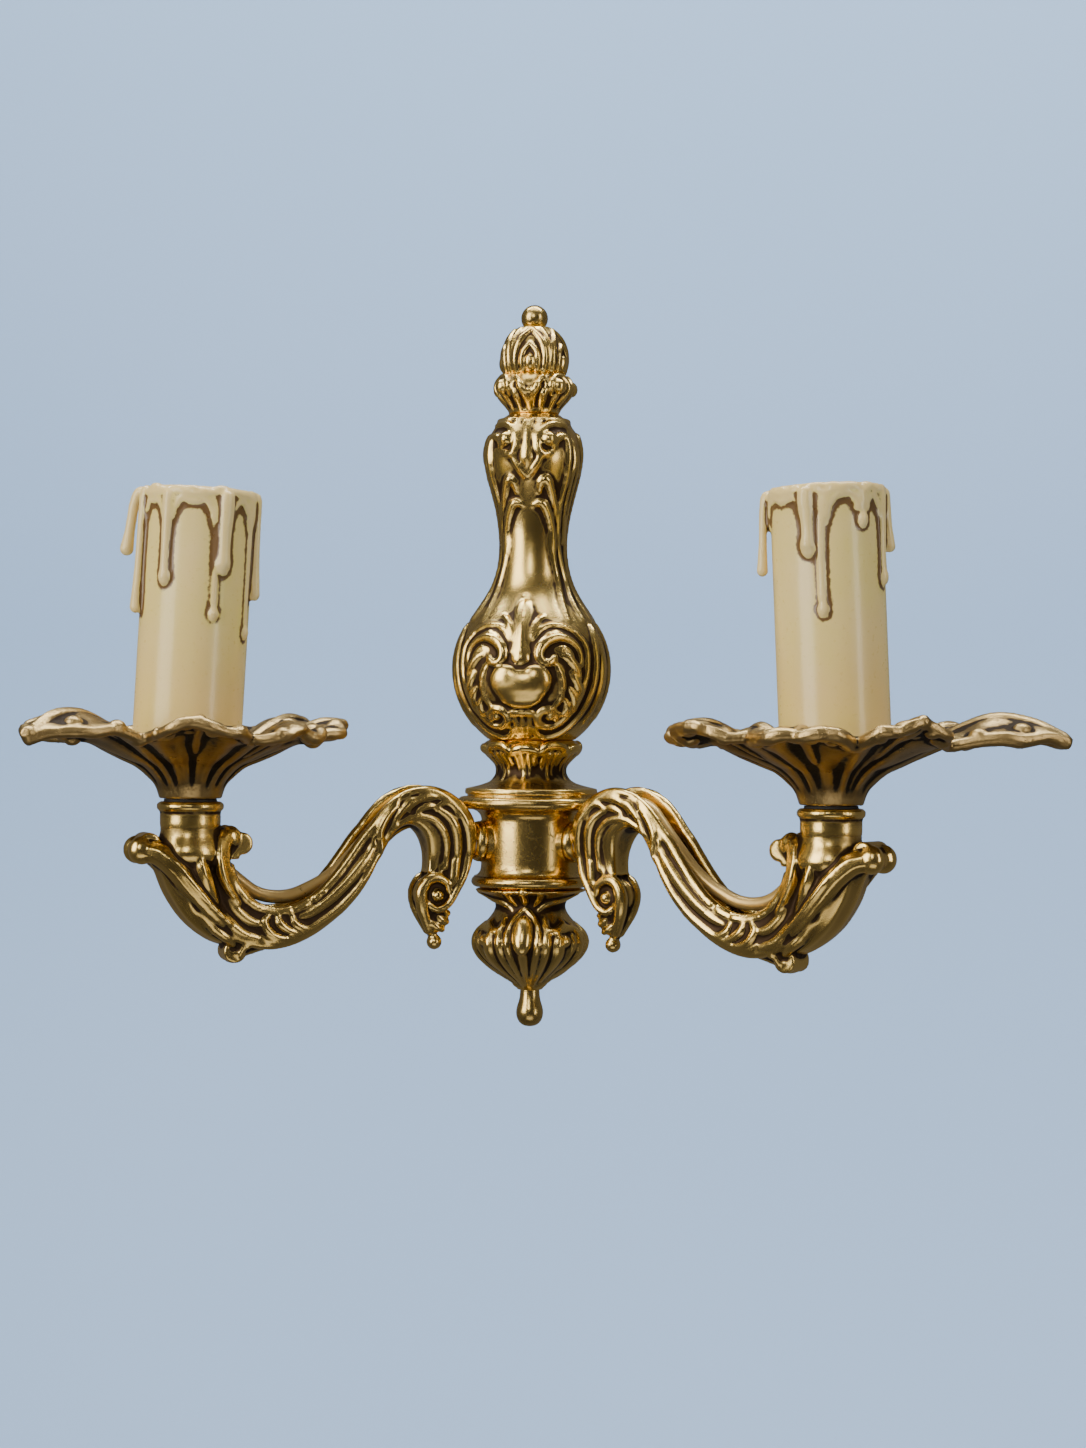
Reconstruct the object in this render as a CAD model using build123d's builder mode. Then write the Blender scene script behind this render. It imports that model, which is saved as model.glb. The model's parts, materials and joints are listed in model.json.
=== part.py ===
"""Double arm wall sconce: a cast brass baluster on the wall, two open scroll arms, leaf drip pans and candle
sleeves over the lampholders.

Millimetres. +X is to the viewer's right, +Y goes into the wall and +Z is up. The wall is the plane Y = 0 and
the origin is the middle of the hanging hole. Heights of the body and the arms are counted from the arms'
axis, where the arms leave the hub.
"""

import os
from math import cos, hypot, radians, sin, sqrt, tan

from build123d import *

# ---- Where things stand
AXIS_OFF = 9.0  # wall to the body's own upright axis
HUB_DROP = 51.5  # hanging hole down to the arms' axis
ARM_ANGLE = 28.0  # each arm comes this far forward of the wall plane, degrees
CUP_REACH = 93.0  # body axis to cup axis, along the arm
FIT = 0.05  # gap round a screw or pin in its hole
SEAT_GAP = 0.05  # gap between a loose piece and what it rests on

# ---- Body castings, as radii and heights above the arms' axis
CAST_WALL = 2.4
DRUM_R = 13.3
DRUM_TOP = 8.6
DRUM_FOOT = -9.3
DRUM_LIP_R = 16.6  # where the drum flares out under the upper ring
DRUM_FOOT_R = 15.2
DRUM_FLARE = 3.2  # height of the flares
UPPER_RING_R = 19.8
UPPER_RING_H = 3.9
RING_STEP = 0.6  # the ring's upper step stands this far inside the neck's disc
LOWER_RING_R = 15.9
LOWER_RING_H = 2.9
NECK_H = 14.5
NECK_DISC_R = 17.7
NECK_DISC_H = 1.5
NECK_WAIST_R = 9.3
NECK_LIP_R = 12.6
NECK_LIP_BELOW_TOP = 2.6
BALUSTER_H = 87.0
BALUSTER_FOOT_R = 11.4
BELLY_R = 20.6
BELLY_BELOW_HOLE = 3.3  # hanging hole down to the baluster's widest part
WAIST_R = 8.7
WAIST_UP = 53.4  # above the baluster's foot
SHOULDER_R = 13.0
SHOULDER_UP = 76.2
BALUSTER_TOP_R = 6.8
CROWN_H = 10.8
CROWN_R = 10.2
CROWN_WIDEST_UP = 6.6
CROWN_LOBES = 9
CROWN_LOBE_DEPTH = 1.0
BUD_H = 12.6
BUD_FOOT_R = 7.8
BUD_R = 8.5
BUD_WIDEST_UP = 4.4
BUD_TOP_R = 4.2
BALL_R = 3.6
BALL_SEAT_R = 2.7
PENDANT_H = 27.6
PENDANT_RIM_R = 14.7
PENDANT_NECK_R = 9.6
PENDANT_NECK_DOWN = 6.2
PENDANT_BOWL_R = 14.9
PENDANT_BOWL_DOWN = 14.4
PENDANT_TIP_R = 3.2
PENDANT_RIM_H = 0.6
PENDANT_GAP = 0.5  # dark line under the lower ring
PENDANT_GAP_R = 13.0
DROP_H = 9.8
DROP_R = 3.6
DROP_NECK_R = 2.6
DROP_WIDEST_DOWN = 5.6

# ---- Tie rod that clamps the castings between the ball and the drop
ROD_R = 1.5
ROD_IN_BALL = 4.6
ROD_IN_DROP = 4.4
CLAMP_FLOOR = 2.0  # casting left under each nut

# ---- Wall plate and what it carries
PLATE_R = 14.4
PLATE_T = 1.8
PLATE_BELOW_HOLE = 5.5  # hanging hole down to the plate's centre
HANG_R = 3.5
SLOT_R = 1.9
SLOT_RISE = 5.4
CABLE_R = 3.2
CABLE_BELOW_HOLE = 14.2
LUG_R = 2.8
LUG_X = 11.0
LUG_COVER = 0.4  # casting left over a lug's outer corner
LUG_SCREW_R = 1.5
LUG_SCREW_L = 9.0
LUG_SCREW_HEAD_R = 2.7
LUG_SCREW_HEAD_H = 1.2
BLOCK_W = 15.0
BLOCK_H = 5.6
BLOCK_D = 5.2
BLOCK_BELOW_HOLE = 7.2
BLOCK_SCREW_R = 1.1
BLOCK_SCREW_PITCH = 5.0
EARTH_X = 9.4
EARTH_BELOW_HOLE = 13.0
EARTH_SCREW_R = 1.5
EARTH_HEAD_R = 2.7
EARTH_HEAD_H = 1.6

# ---- Arm casting. Its outline is measured from the limb's face near the hub and from the cup's axis near it
ARM_W = 13.0
ARM_SIDE = 2.4  # thickness of the two side walls of the open channel
ARM_FLOOR = 1.6
ARM_EDGE = 1.4  # rounding along the outline
SPACER_T = 2.7
SEAT_OUT = 0.6  # the drum's arm seat stands this far off the drum
SEAT_R = 5.6
SPACER_R = 5.4
SPACER_RIM = 1.0
ARCH_TOP = 14.8
BEND_LOW = -27.4
VOLUTE_FROM_FACE = 10.8
VOLUTE_DOWN = 14.2
VOLUTE_R = 5.7
VOLUTE_GROOVE_R = 4.0
VOLUTE_EYE_R = 1.9
VOLUTE_GROOVE = 1.6
TAIL_DOWN = 26.6
TAIL_BALL_R = 2.1
TAIL_T = 6.0
KNOB_IN = 11.2  # inward of the cup axis
KNOB_DOWN = 27.8
KNOB_R = 3.0
KNOB_L = 8.0
CURL_OUT = 11.4
CURL_IN = 12.7
CURL_R = 2.9
CURL_L = 9.0
CUP_NECK_R = 7.8
CUP_COLLAR_R = 8.6
CUP_COLLAR_H = 2.4
CUP_TOP = 10.8
CUP_BULB_R = 9.4
CUP_BULB_DOWN = 2.5
CUP_POINT_DOWN = 15.0
CUP_CAVITY_R = 4.9
CUP_CAVITY_DOWN = 4.0

# ---- Threaded tubes and nuts
NIPPLE_R = 4.0
NIPPLE_BORE_R = 2.7
NUT_SEAT_DEEP = 2.8  # spot face below the drum's outside
NUT_ROOM = 0.25
NIPPLE_PROUD = 0.4  # tube past the nut
NIPPLE_IN_ARM = 4.6
NUT_FLATS = 11.0
NUT_T = 2.0
LIMB_BLOCK = 5.4  # solid behind the limb's face that the nipple screws into

# ---- Drip pan and its gasket
GASKET_R = 6.8
GASKET_T = 0.6
PAN_BASE_R = 7.9
PAN_FLOOR_T = 2.0
PAN_THROAT_R = 6.9
PAN_T = 2.2
PAN_OPENS_R = 18.2  # where the trumpet opens into the dish
PAN_OPENS_UP = 10.6
PAN_CREST_R = 41.0
PAN_CREST_UP = 19.4
PAN_DROOP_R = 63.0  # the dish as turned, before it is cut to its leaves
PAN_DROOP_UP = 15.4
PAN_LEDGE_R = 16.8
PAN_LEDGE_UP = 11.2
PAN_LOBE_REACH = (60.0, 42.5, 40.0, 41.0, 47.0, 44.0, 41.0, 43.0)  # each lobe from the long tip round
PAN_VALLEY_R = 35.0
PAN_TURN = {"right": 18.0, "left": 35.0}  # the long tip from the arm's own direction, degrees

# ---- Lampholder for the small Edison screw
GALLERY_R = 16.5
GALLERY_T = 0.8
HOLDER_R = 9.75
HOLDER_WALL = 1.4
HOLDER_BASE_H = 9.0
HOLDER_TOP_BELOW_SLEEVE = 4.6
SOCKET_R = 7.0
SOCKET_T = 0.4
SOCKET_L = 21.0
SOCKET_BELOW_TOP = 1.5
INSULATOR_H = 8.0
CONTACT_R = 2.6
CONTACT_T = 0.5
CONTACT_RISE = 2.4
CONTACT_DEEP = 0.2  # below the rim of its well
CONTACT_ROOM = 0.5
HOLDER_SCREW_R = 1.2
HOLDER_SCREW_L = 3.0
HOLDER_SCREW_OFF = 5.0
CUP_NIPPLE_IN_CUP = 5.0

# ---- Candle sleeve and the wax on it
SLEEVE_R = 14.0
SLEEVE_WALL = 1.7
SLEEVE_L = 66.5
SLEEVE_LEAN = 3.0  # degrees, towards the body
SLEEVE_SHIFT = 1.2  # its foot stands this far outward
WAX_RIM_T = 0.9
WAX_RIM_H = 4.6
WAX_RIM_RISE = 0.5
WAX_RUN_R = 1.7
WAX_DROP_R = 2.1
# Each run as its angle round the candle (0 outward, 90 to the rear on the right arm) and its length
WAX_RUNS = {
    "right": ((8, 16.0), (60, 12.0), (118, 21.0), (175, 18.0), (222, 13.0), (255, 30.0), (318, 21.0)),
    "left": ((350, 32.0), (20, 17.0), (75, 14.0), (130, 24.0), (186, 34.0), (222, 30.0), (288, 22.0)),
}

# ---- Flex that lies in each arm
FLEX_R = 1.75
FLEX_OFF = 4.6  # beside the tie rod
FLEX_HUB_BEND = 4.5
FLEX_LIMB_BEND = 5.2
FLEX_ARCH_BEND = 6.0
FLEX_FROM_FACE = 8.9
FLEX_HOLE_R = 2.5
FLEX_TAIL = 6.0  # straight length below the terminal block
FLEX_NECK_UP = 24.0  # straight beside the rod up to here

# ---- Frames worked out from the sizes
FACE = DRUM_R + SEAT_OUT + SPACER_T  # body axis to the limb's face
UPPER_RING_TOP = DRUM_TOP + UPPER_RING_H
NECK_TOP = UPPER_RING_TOP + NECK_H
BELLY_UP = HUB_DROP - BELLY_BELOW_HOLE - NECK_TOP  # above the baluster's foot
BALUSTER_TOP = NECK_TOP + BALUSTER_H
CROWN_TOP = BALUSTER_TOP + CROWN_H
BUD_TOP = CROWN_TOP + BUD_H
LOWER_RING_FOOT = DRUM_FOOT - LOWER_RING_H
PENDANT_FOOT = LOWER_RING_FOOT - PENDANT_H
PAN_BASE = CUP_TOP + GASKET_T
SEAT_FACE = DRUM_R + SEAT_OUT
NUT_SEAT = DRUM_R - NUT_SEAT_DEEP
NIPPLE_INNER = NUT_SEAT - NUT_T - NIPPLE_PROUD
LOBE_STEP = 360 / len(PAN_LOBE_REACH)
GALLERY_FOOT = PAN_BASE + PAN_LEDGE_UP
GALLERY_TOP = GALLERY_FOOT + GALLERY_T
SLEEVE_FOOT = GALLERY_TOP + SLEEVE_R * sin(radians(SLEEVE_LEAN)) + SEAT_GAP
HOLDER_TOP = SLEEVE_FOOT + SLEEVE_L * cos(radians(SLEEVE_LEAN)) - HOLDER_TOP_BELOW_SLEEVE
SOCKET_TOP = HOLDER_TOP - SOCKET_BELOW_TOP
SOCKET_FOOT = SOCKET_TOP - SOCKET_L
INSULATOR_FOOT = SOCKET_FOOT - INSULATOR_H
CONTACT_FOOT = SOCKET_FOOT - CONTACT_DEEP - CONTACT_T - CONTACT_RISE
UP = (0, 0, 1)
BODY = Plane(origin=(0, -AXIS_OFF, -HUB_DROP), x_dir=(1, 0, 0), z_dir=(0, -1, 0))
BODY_AXIS = Axis(BODY.origin, UP)
WALL = Plane.XZ
SIDES = {"right": 1, "left": -1}


def arm_plane(side):
    """The upright plane of one arm: local X runs outward from the body axis and local Y is up."""
    c, s = cos(radians(ARM_ANGLE)), sin(radians(ARM_ANGLE))
    return Plane(origin=BODY.origin, x_dir=(side * c, -s, 0), z_dir=(-s, -side * c, 0))


def cup_plane(side):
    """The arm's plane moved out to the cup's axis."""
    arm = arm_plane(side)
    return Plane(origin=arm.from_local_coords((CUP_REACH, 0, 0)), x_dir=arm.x_dir, z_dir=arm.z_dir)


def sleeve_plane(side):
    """The cup's plane at the sleeve's foot, leaning towards the body."""
    arm = arm_plane(side)
    foot = arm.from_local_coords((CUP_REACH + SLEEVE_SHIFT, SLEEVE_FOOT, 0))
    lean = radians(SLEEVE_LEAN)
    tilted_x = arm.x_dir * cos(lean) + Vector(*UP) * sin(lean)
    return Plane(origin=foot, x_dir=tilted_x, z_dir=arm.z_dir)


def across(plane, x, y, z=0.0):
    """A plane whose Z is the local X of the given plane, at a local point of it."""
    return Plane(origin=plane.from_local_coords((x, y, z)), x_dir=plane.z_dir, z_dir=plane.x_dir)


def face_on(plane, x, y, z=0.0):
    """The given plane itself, moved to a local point of it."""
    return Plane(origin=plane.from_local_coords((x, y, z)), x_dir=plane.x_dir, z_dir=plane.z_dir)


def upright(plane, x, y, z=0.0):
    """A level plane at a local point of the given plane, with its X along that plane's X."""
    return Plane(origin=plane.from_local_coords((x, y, z)), x_dir=plane.x_dir, z_dir=plane.y_dir)


def half_profile(curve):
    """The area between the axis and a smooth curve of (radius, height)."""
    with BuildSketch() as area:
        with BuildLine():
            Spline(*curve)
            Polyline(curve[-1], (0, curve[-1][1]), (0, curve[0][1]), curve[0])
        make_face()
    return area.sketch


def straight_profile(*points):
    """The area inside a closed run of straight lines through (radius, height) points."""
    with BuildSketch() as area:
        with BuildLine():
            Polyline(*points, close=True)
        make_face()
    return area.sketch


def thinned(curve, wall):
    """The inner side of a casting: the same curve a wall nearer to the axis."""
    return [(max(r - wall, ROD_R + FIT), z) for r, z in curve]


def beside(curve, wall):
    """A curve of points moved to its own left by a wall."""
    moved = []
    for i, (x, y) in enumerate(curve):
        before, after = curve[max(i - 1, 0)], curve[min(i + 1, len(curve) - 1)]
        dx, dy = after[0] - before[0], after[1] - before[1]
        span = hypot(dx, dy)
        moved.append((x - wall * dy / span, y + wall * dx / span))
    return moved


def between(start, end, share):
    """The value that lies a share of the way from start to end."""
    return start + share * (end - start)


def bend_radii(points, tight):
    """The radius of each corner of a route: as large as its runs allow, or the one that tight gives."""
    radii = []
    for i in range(1, len(points) - 1):
        before = Vector(*points[i]) - Vector(*points[i - 1])
        after = Vector(*points[i + 1]) - Vector(*points[i])
        largest = 0.45 * min(before.length, after.length) / tan(radians(before.get_angle(after)) / 2)
        radii.append(tight.get(i, largest))
    return radii


def save(part, name):
    """Labels a finished piece and writes its STEP file."""
    part.label = name
    export_step(part, f"parts/{name}.step")


os.makedirs("parts", exist_ok=True)

# =============================== Body castings

BALUSTER_CURVE = [
    (BALUSTER_FOOT_R, NECK_TOP),
    (between(BALUSTER_FOOT_R, BELLY_R, 0.74), NECK_TOP + 0.38 * BELLY_UP),
    (BELLY_R, NECK_TOP + BELLY_UP),
    (between(WAIST_R, BELLY_R, 0.79), NECK_TOP + between(BELLY_UP, WAIST_UP, 0.26)),
    (between(WAIST_R, BELLY_R, 0.18), NECK_TOP + between(BELLY_UP, WAIST_UP, 0.6)),
    (WAIST_R, NECK_TOP + WAIST_UP),
    (between(WAIST_R, SHOULDER_R, 0.57), NECK_TOP + between(WAIST_UP, SHOULDER_UP, 0.6)),
    (SHOULDER_R, NECK_TOP + SHOULDER_UP),
    (between(BALUSTER_TOP_R, SHOULDER_R, 0.76), NECK_TOP + between(SHOULDER_UP, BALUSTER_H, 0.5)),
    (BALUSTER_TOP_R, BALUSTER_TOP),
]
PLATE_Z = -PLATE_BELOW_HOLE

with BuildPart() as baluster_casting:
    with BuildSketch(BODY):
        add(half_profile(BALUSTER_CURVE))
    revolve(axis=BODY_AXIS)
    with BuildSketch(BODY):
        add(half_profile(thinned(BALUSTER_CURVE, CAST_WALL)))
    revolve(axis=BODY_AXIS, mode=Mode.SUBTRACT)
    split(bisect_by=WALL, keep=Keep.TOP)
    # Lugs for the wall plate, from the plate forward to the front wall
    with BuildSketch(WALL.offset(PLATE_T)):
        with Locations((-LUG_X, PLATE_Z), (LUG_X, PLATE_Z)):
            Circle(LUG_R)
    extrude(amount=AXIS_OFF + sqrt(BELLY_R**2 - (LUG_X + LUG_R) ** 2) - LUG_COVER - PLATE_T)
    with BuildSketch(WALL.offset(PLATE_T)):
        with Locations((-LUG_X, PLATE_Z), (LUG_X, PLATE_Z)):
            Circle(LUG_SCREW_R + FIT)
    extrude(amount=LUG_SCREW_L, mode=Mode.SUBTRACT)
save(baluster_casting.part, "baluster_casting")

NECK_CURVE = [
    (NECK_DISC_R, UPPER_RING_TOP + NECK_DISC_H),
    (0.5 * (NECK_DISC_R + NECK_WAIST_R), UPPER_RING_TOP + NECK_DISC_H + 1.0),
    (NECK_WAIST_R + 0.3, UPPER_RING_TOP + 0.34 * NECK_H),
    (NECK_WAIST_R, UPPER_RING_TOP + 0.55 * NECK_H),
    (NECK_LIP_R, NECK_TOP - NECK_LIP_BELOW_TOP),
    (BALUSTER_FOOT_R, NECK_TOP),
]
with BuildPart() as neck_casting:
    with BuildSketch(BODY):
        add(half_profile(NECK_CURVE))
        with Locations((0.5 * NECK_DISC_R, UPPER_RING_TOP + 0.5 * NECK_DISC_H)):
            Rectangle(NECK_DISC_R, NECK_DISC_H)
    revolve(axis=BODY_AXIS)
    with BuildSketch(BODY):
        add(
            straight_profile(
                (0, UPPER_RING_TOP),
                (NECK_WAIST_R - CAST_WALL, UPPER_RING_TOP),
                (NECK_WAIST_R - CAST_WALL, UPPER_RING_TOP + 0.6 * NECK_H),
                (BALUSTER_FOOT_R - CAST_WALL, NECK_TOP),
                (0, NECK_TOP),
            )
        )
    revolve(axis=BODY_AXIS, mode=Mode.SUBTRACT)
    split(bisect_by=WALL, keep=Keep.TOP)
save(neck_casting.part, "neck_casting")

RING_BEAD = 0.42 * UPPER_RING_H
BEAD_IN = UPPER_RING_R - RING_BEAD
BEAD_TOP = DRUM_TOP + 2 * RING_BEAD
with BuildPart() as upper_ring:
    with BuildSketch(BODY):
        with BuildLine():
            Polyline(
                (BEAD_IN, BEAD_TOP),
                (NECK_DISC_R - RING_STEP, BEAD_TOP),
                (NECK_DISC_R - RING_STEP, UPPER_RING_TOP),
                (DRUM_R - CAST_WALL, UPPER_RING_TOP),
                (DRUM_R - CAST_WALL, DRUM_TOP),
                (BEAD_IN, DRUM_TOP),
            )
            ThreePointArc((BEAD_IN, DRUM_TOP), (UPPER_RING_R, DRUM_TOP + RING_BEAD), (BEAD_IN, BEAD_TOP))
        make_face()
    revolve(axis=BODY_AXIS)
    split(bisect_by=WALL, keep=Keep.TOP)
save(upper_ring.part, "upper_ring")

with BuildPart() as hub_drum:
    with BuildSketch(BODY):
        with BuildLine():
            Line((DRUM_R - CAST_WALL, DRUM_FOOT), (DRUM_FOOT_R, DRUM_FOOT))
            Spline(
                (DRUM_FOOT_R, DRUM_FOOT),
                (DRUM_R, DRUM_FOOT + DRUM_FLARE),
                tangents=((-1, 0.2), (0, 1)),
            )
            Line((DRUM_R, DRUM_FOOT + DRUM_FLARE), (DRUM_R, DRUM_TOP - DRUM_FLARE))
            Spline(
                (DRUM_R, DRUM_TOP - DRUM_FLARE),
                (DRUM_LIP_R, DRUM_TOP),
                tangents=((0, 1), (1, 0.2)),
            )
            Polyline(
                (DRUM_LIP_R, DRUM_TOP),
                (DRUM_R - CAST_WALL, DRUM_TOP),
                (DRUM_R - CAST_WALL, DRUM_FOOT),
            )
        make_face()
    revolve(axis=BODY_AXIS)
    split(bisect_by=WALL, keep=Keep.TOP)
    for side in SIDES.values():
        arm = arm_plane(side)
        with BuildSketch(across(arm, NUT_SEAT, 0)):
            Circle(SEAT_R)
        extrude(amount=SEAT_FACE - NUT_SEAT)
        # Spot face for the nut, then the hole for the threaded tube
        with BuildSketch(across(arm, 0.5 * NUT_SEAT, 0)):
            Circle(NUT_FLATS / sqrt(3) + NUT_ROOM)
        extrude(amount=0.5 * NUT_SEAT, mode=Mode.SUBTRACT)
        with BuildSketch(across(arm, 0.5 * NUT_SEAT, 0)):
            Circle(NIPPLE_R + FIT)
        extrude(amount=SEAT_FACE, mode=Mode.SUBTRACT)
save(hub_drum.part, "hub_drum")

LIP = 0.5 * LOWER_RING_H
with BuildPart() as lower_ring:
    with BuildSketch(BODY):
        with BuildLine():
            Polyline(
                (LOWER_RING_R - LIP, DRUM_FOOT),
                (DRUM_R - CAST_WALL, DRUM_FOOT),
                (DRUM_R - CAST_WALL, LOWER_RING_FOOT),
                (LOWER_RING_R - LIP, LOWER_RING_FOOT),
            )
            ThreePointArc(
                (LOWER_RING_R - LIP, LOWER_RING_FOOT),
                (LOWER_RING_R, LOWER_RING_FOOT + LIP),
                (LOWER_RING_R - LIP, DRUM_FOOT),
            )
        make_face()
    revolve(axis=BODY_AXIS)
    split(bisect_by=WALL, keep=Keep.TOP)
save(lower_ring.part, "lower_ring")

PENDANT_TOP = LOWER_RING_FOOT
PENDANT_RIM_Z = PENDANT_TOP - PENDANT_GAP - PENDANT_RIM_H
BOWL_Z = PENDANT_TOP - PENDANT_BOWL_DOWN
PENDANT_CURVE = [
    (PENDANT_TIP_R, PENDANT_FOOT),
    (0.4 * PENDANT_BOWL_R, between(PENDANT_FOOT, BOWL_Z, 0.22)),
    (0.86 * PENDANT_BOWL_R, between(PENDANT_FOOT, BOWL_Z, 0.66)),
    (PENDANT_BOWL_R, BOWL_Z),
    (between(PENDANT_NECK_R, PENDANT_BOWL_R, 0.55), PENDANT_TOP - 0.7 * PENDANT_BOWL_DOWN),
    (PENDANT_NECK_R, PENDANT_TOP - PENDANT_NECK_DOWN),
    (PENDANT_RIM_R, PENDANT_RIM_Z),
]
with BuildPart() as pendant_casting:
    with BuildSketch(BODY):
        add(half_profile(PENDANT_CURVE))
        with Locations((0.5 * PENDANT_RIM_R, PENDANT_RIM_Z + 0.5 * PENDANT_RIM_H)):
            Rectangle(PENDANT_RIM_R, PENDANT_RIM_H)
        with Locations((0.5 * PENDANT_GAP_R, PENDANT_TOP - 0.5 * PENDANT_GAP)):
            Rectangle(PENDANT_GAP_R, PENDANT_GAP)
    revolve(axis=BODY_AXIS)
    with BuildSketch(BODY):
        add(
            straight_profile(
                (0, between(PENDANT_FOOT, BOWL_Z, 0.62)),
                (0.5 * PENDANT_BOWL_R, between(PENDANT_FOOT, BOWL_Z, 0.75)),
                (PENDANT_NECK_R - CAST_WALL, BOWL_Z),
                (PENDANT_NECK_R - CAST_WALL, PENDANT_TOP),
                (0, PENDANT_TOP),
            )
        )
    revolve(axis=BODY_AXIS, mode=Mode.SUBTRACT)
    with BuildSketch(upright(BODY, 0, PENDANT_FOOT)):
        Circle(ROD_R + FIT)
    extrude(amount=PENDANT_H, mode=Mode.SUBTRACT)
    split(bisect_by=WALL, keep=Keep.TOP)
save(pendant_casting.part, "pendant_casting")

CROWN_CURVE = [
    (BALUSTER_TOP_R, BALUSTER_TOP),
    (0.85 * CROWN_R, BALUSTER_TOP + 0.6 * CROWN_WIDEST_UP),
    (CROWN_R, BALUSTER_TOP + CROWN_WIDEST_UP),
    (between(BUD_FOOT_R, CROWN_R, 0.6), BALUSTER_TOP + between(CROWN_WIDEST_UP, CROWN_H, 0.6)),
    (BUD_FOOT_R, CROWN_TOP),
]
with BuildPart() as leaf_crown:
    with BuildSketch(BODY):
        add(half_profile(CROWN_CURVE))
    revolve(axis=BODY_AXIS)
    # Notches between the leaf tips
    with BuildSketch(upright(BODY, 0, BALUSTER_TOP + 0.5 * CROWN_WIDEST_UP)):
        with PolarLocations(CROWN_R, CROWN_LOBES, start_angle=90):
            Circle(CROWN_LOBE_DEPTH)
    extrude(amount=CROWN_H, mode=Mode.SUBTRACT)
    with BuildSketch(upright(BODY, 0, BALUSTER_TOP)):
        Circle(BALUSTER_TOP_R - CAST_WALL)
    extrude(amount=CROWN_H, mode=Mode.SUBTRACT)
    split(bisect_by=WALL, keep=Keep.TOP)
save(leaf_crown.part, "leaf_crown")

BUD_CURVE = [
    (BUD_FOOT_R, CROWN_TOP),
    (BUD_R, CROWN_TOP + BUD_WIDEST_UP),
    (between(BUD_TOP_R, BUD_R, 0.76), CROWN_TOP + between(BUD_WIDEST_UP, BUD_H, 0.5)),
    (BUD_TOP_R, BUD_TOP),
]
with BuildPart() as bud_casting:
    with BuildSketch(BODY):
        add(half_profile(BUD_CURVE))
    revolve(axis=BODY_AXIS)
    with BuildSketch(upright(BODY, 0, CROWN_TOP)):
        Circle(BALUSTER_TOP_R - CAST_WALL)
    extrude(amount=BUD_H - CLAMP_FLOOR, mode=Mode.SUBTRACT)
    with BuildSketch(upright(BODY, 0, CROWN_TOP)):
        Circle(ROD_R + FIT)
    extrude(amount=BUD_H, mode=Mode.SUBTRACT)
    split(bisect_by=WALL, keep=Keep.TOP)
save(bud_casting.part, "bud_casting")

BALL_CENTRE = BUD_TOP + sqrt(BALL_R**2 - BALL_SEAT_R**2)
with BuildPart() as top_ball_nut:
    with Locations(BODY.from_local_coords((0, BALL_CENTRE, 0))):
        Sphere(BALL_R)
    split(bisect_by=upright(BODY, 0, BUD_TOP), keep=Keep.TOP)
    with BuildSketch(upright(BODY, 0, BUD_TOP)):
        Circle(ROD_R + FIT)
    extrude(amount=ROD_IN_BALL + FIT, mode=Mode.SUBTRACT)
save(top_ball_nut.part, "top_ball_nut")

with BuildPart() as bottom_drop_nut:
    with BuildSketch(BODY):
        with BuildLine():
            Spline(
                (DROP_NECK_R, PENDANT_FOOT),
                (DROP_R, PENDANT_FOOT - DROP_WIDEST_DOWN),
                (0, PENDANT_FOOT - DROP_H),
                tangents=((0, -1), (-1, 0)),
            )
            Polyline((0, PENDANT_FOOT - DROP_H), (0, PENDANT_FOOT), (DROP_NECK_R, PENDANT_FOOT))
        make_face()
    revolve(axis=BODY_AXIS)
    with BuildSketch(upright(BODY, 0, PENDANT_FOOT)):
        Circle(ROD_R + FIT)
    extrude(amount=-(ROD_IN_DROP + FIT), mode=Mode.SUBTRACT)
save(bottom_drop_nut.part, "bottom_drop_nut")

with BuildPart() as tie_rod:
    with BuildSketch(upright(BODY, 0, PENDANT_FOOT - ROD_IN_DROP)):
        Circle(ROD_R)
    extrude(amount=BUD_TOP + ROD_IN_BALL - PENDANT_FOOT + ROD_IN_DROP)
save(tie_rod.part, "tie_rod")

# =============================== Wall plate and terminals

with BuildPart() as wall_plate:
    with BuildSketch(WALL):
        with Locations((0, PLATE_Z)):
            Circle(PLATE_R)
        Circle(HANG_R, mode=Mode.SUBTRACT)
        with Locations((0, 0.5 * SLOT_RISE)):
            Rectangle(2 * SLOT_R, SLOT_RISE, mode=Mode.SUBTRACT)
        with Locations((0, SLOT_RISE)):
            Circle(SLOT_R, mode=Mode.SUBTRACT)
        with Locations((0, -CABLE_BELOW_HOLE)):
            Circle(CABLE_R, mode=Mode.SUBTRACT)
        with Locations((EARTH_X, -EARTH_BELOW_HOLE)):
            Circle(EARTH_SCREW_R + FIT, mode=Mode.SUBTRACT)
    extrude(amount=PLATE_T)
    with Locations(Plane.XZ.rotated((180, 0, 0))):
        with Locations((-LUG_X, -PLATE_Z), (LUG_X, -PLATE_Z)):
            CounterSinkHole(LUG_SCREW_R + FIT, LUG_SCREW_HEAD_R + FIT, PLATE_T)
save(wall_plate.part, "wall_plate")

with BuildPart() as plate_screws:
    for x in (-LUG_X, LUG_X):
        with BuildSketch(Plane(origin=(x, 0, PLATE_Z), x_dir=(1, 0, 0), z_dir=(0, 0, 1))):
            with BuildLine():
                Polyline(
                    (0, 0),
                    (LUG_SCREW_HEAD_R - 0.1, 0),
                    (LUG_SCREW_R, -LUG_SCREW_HEAD_H),
                    (LUG_SCREW_R, -LUG_SCREW_L),
                    (0, -LUG_SCREW_L),
                    (0, 0),
                )
            make_face()
        revolve(axis=Axis((x, 0, PLATE_Z), (0, 1, 0)))
save(plate_screws.part, "plate_screws")

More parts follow.
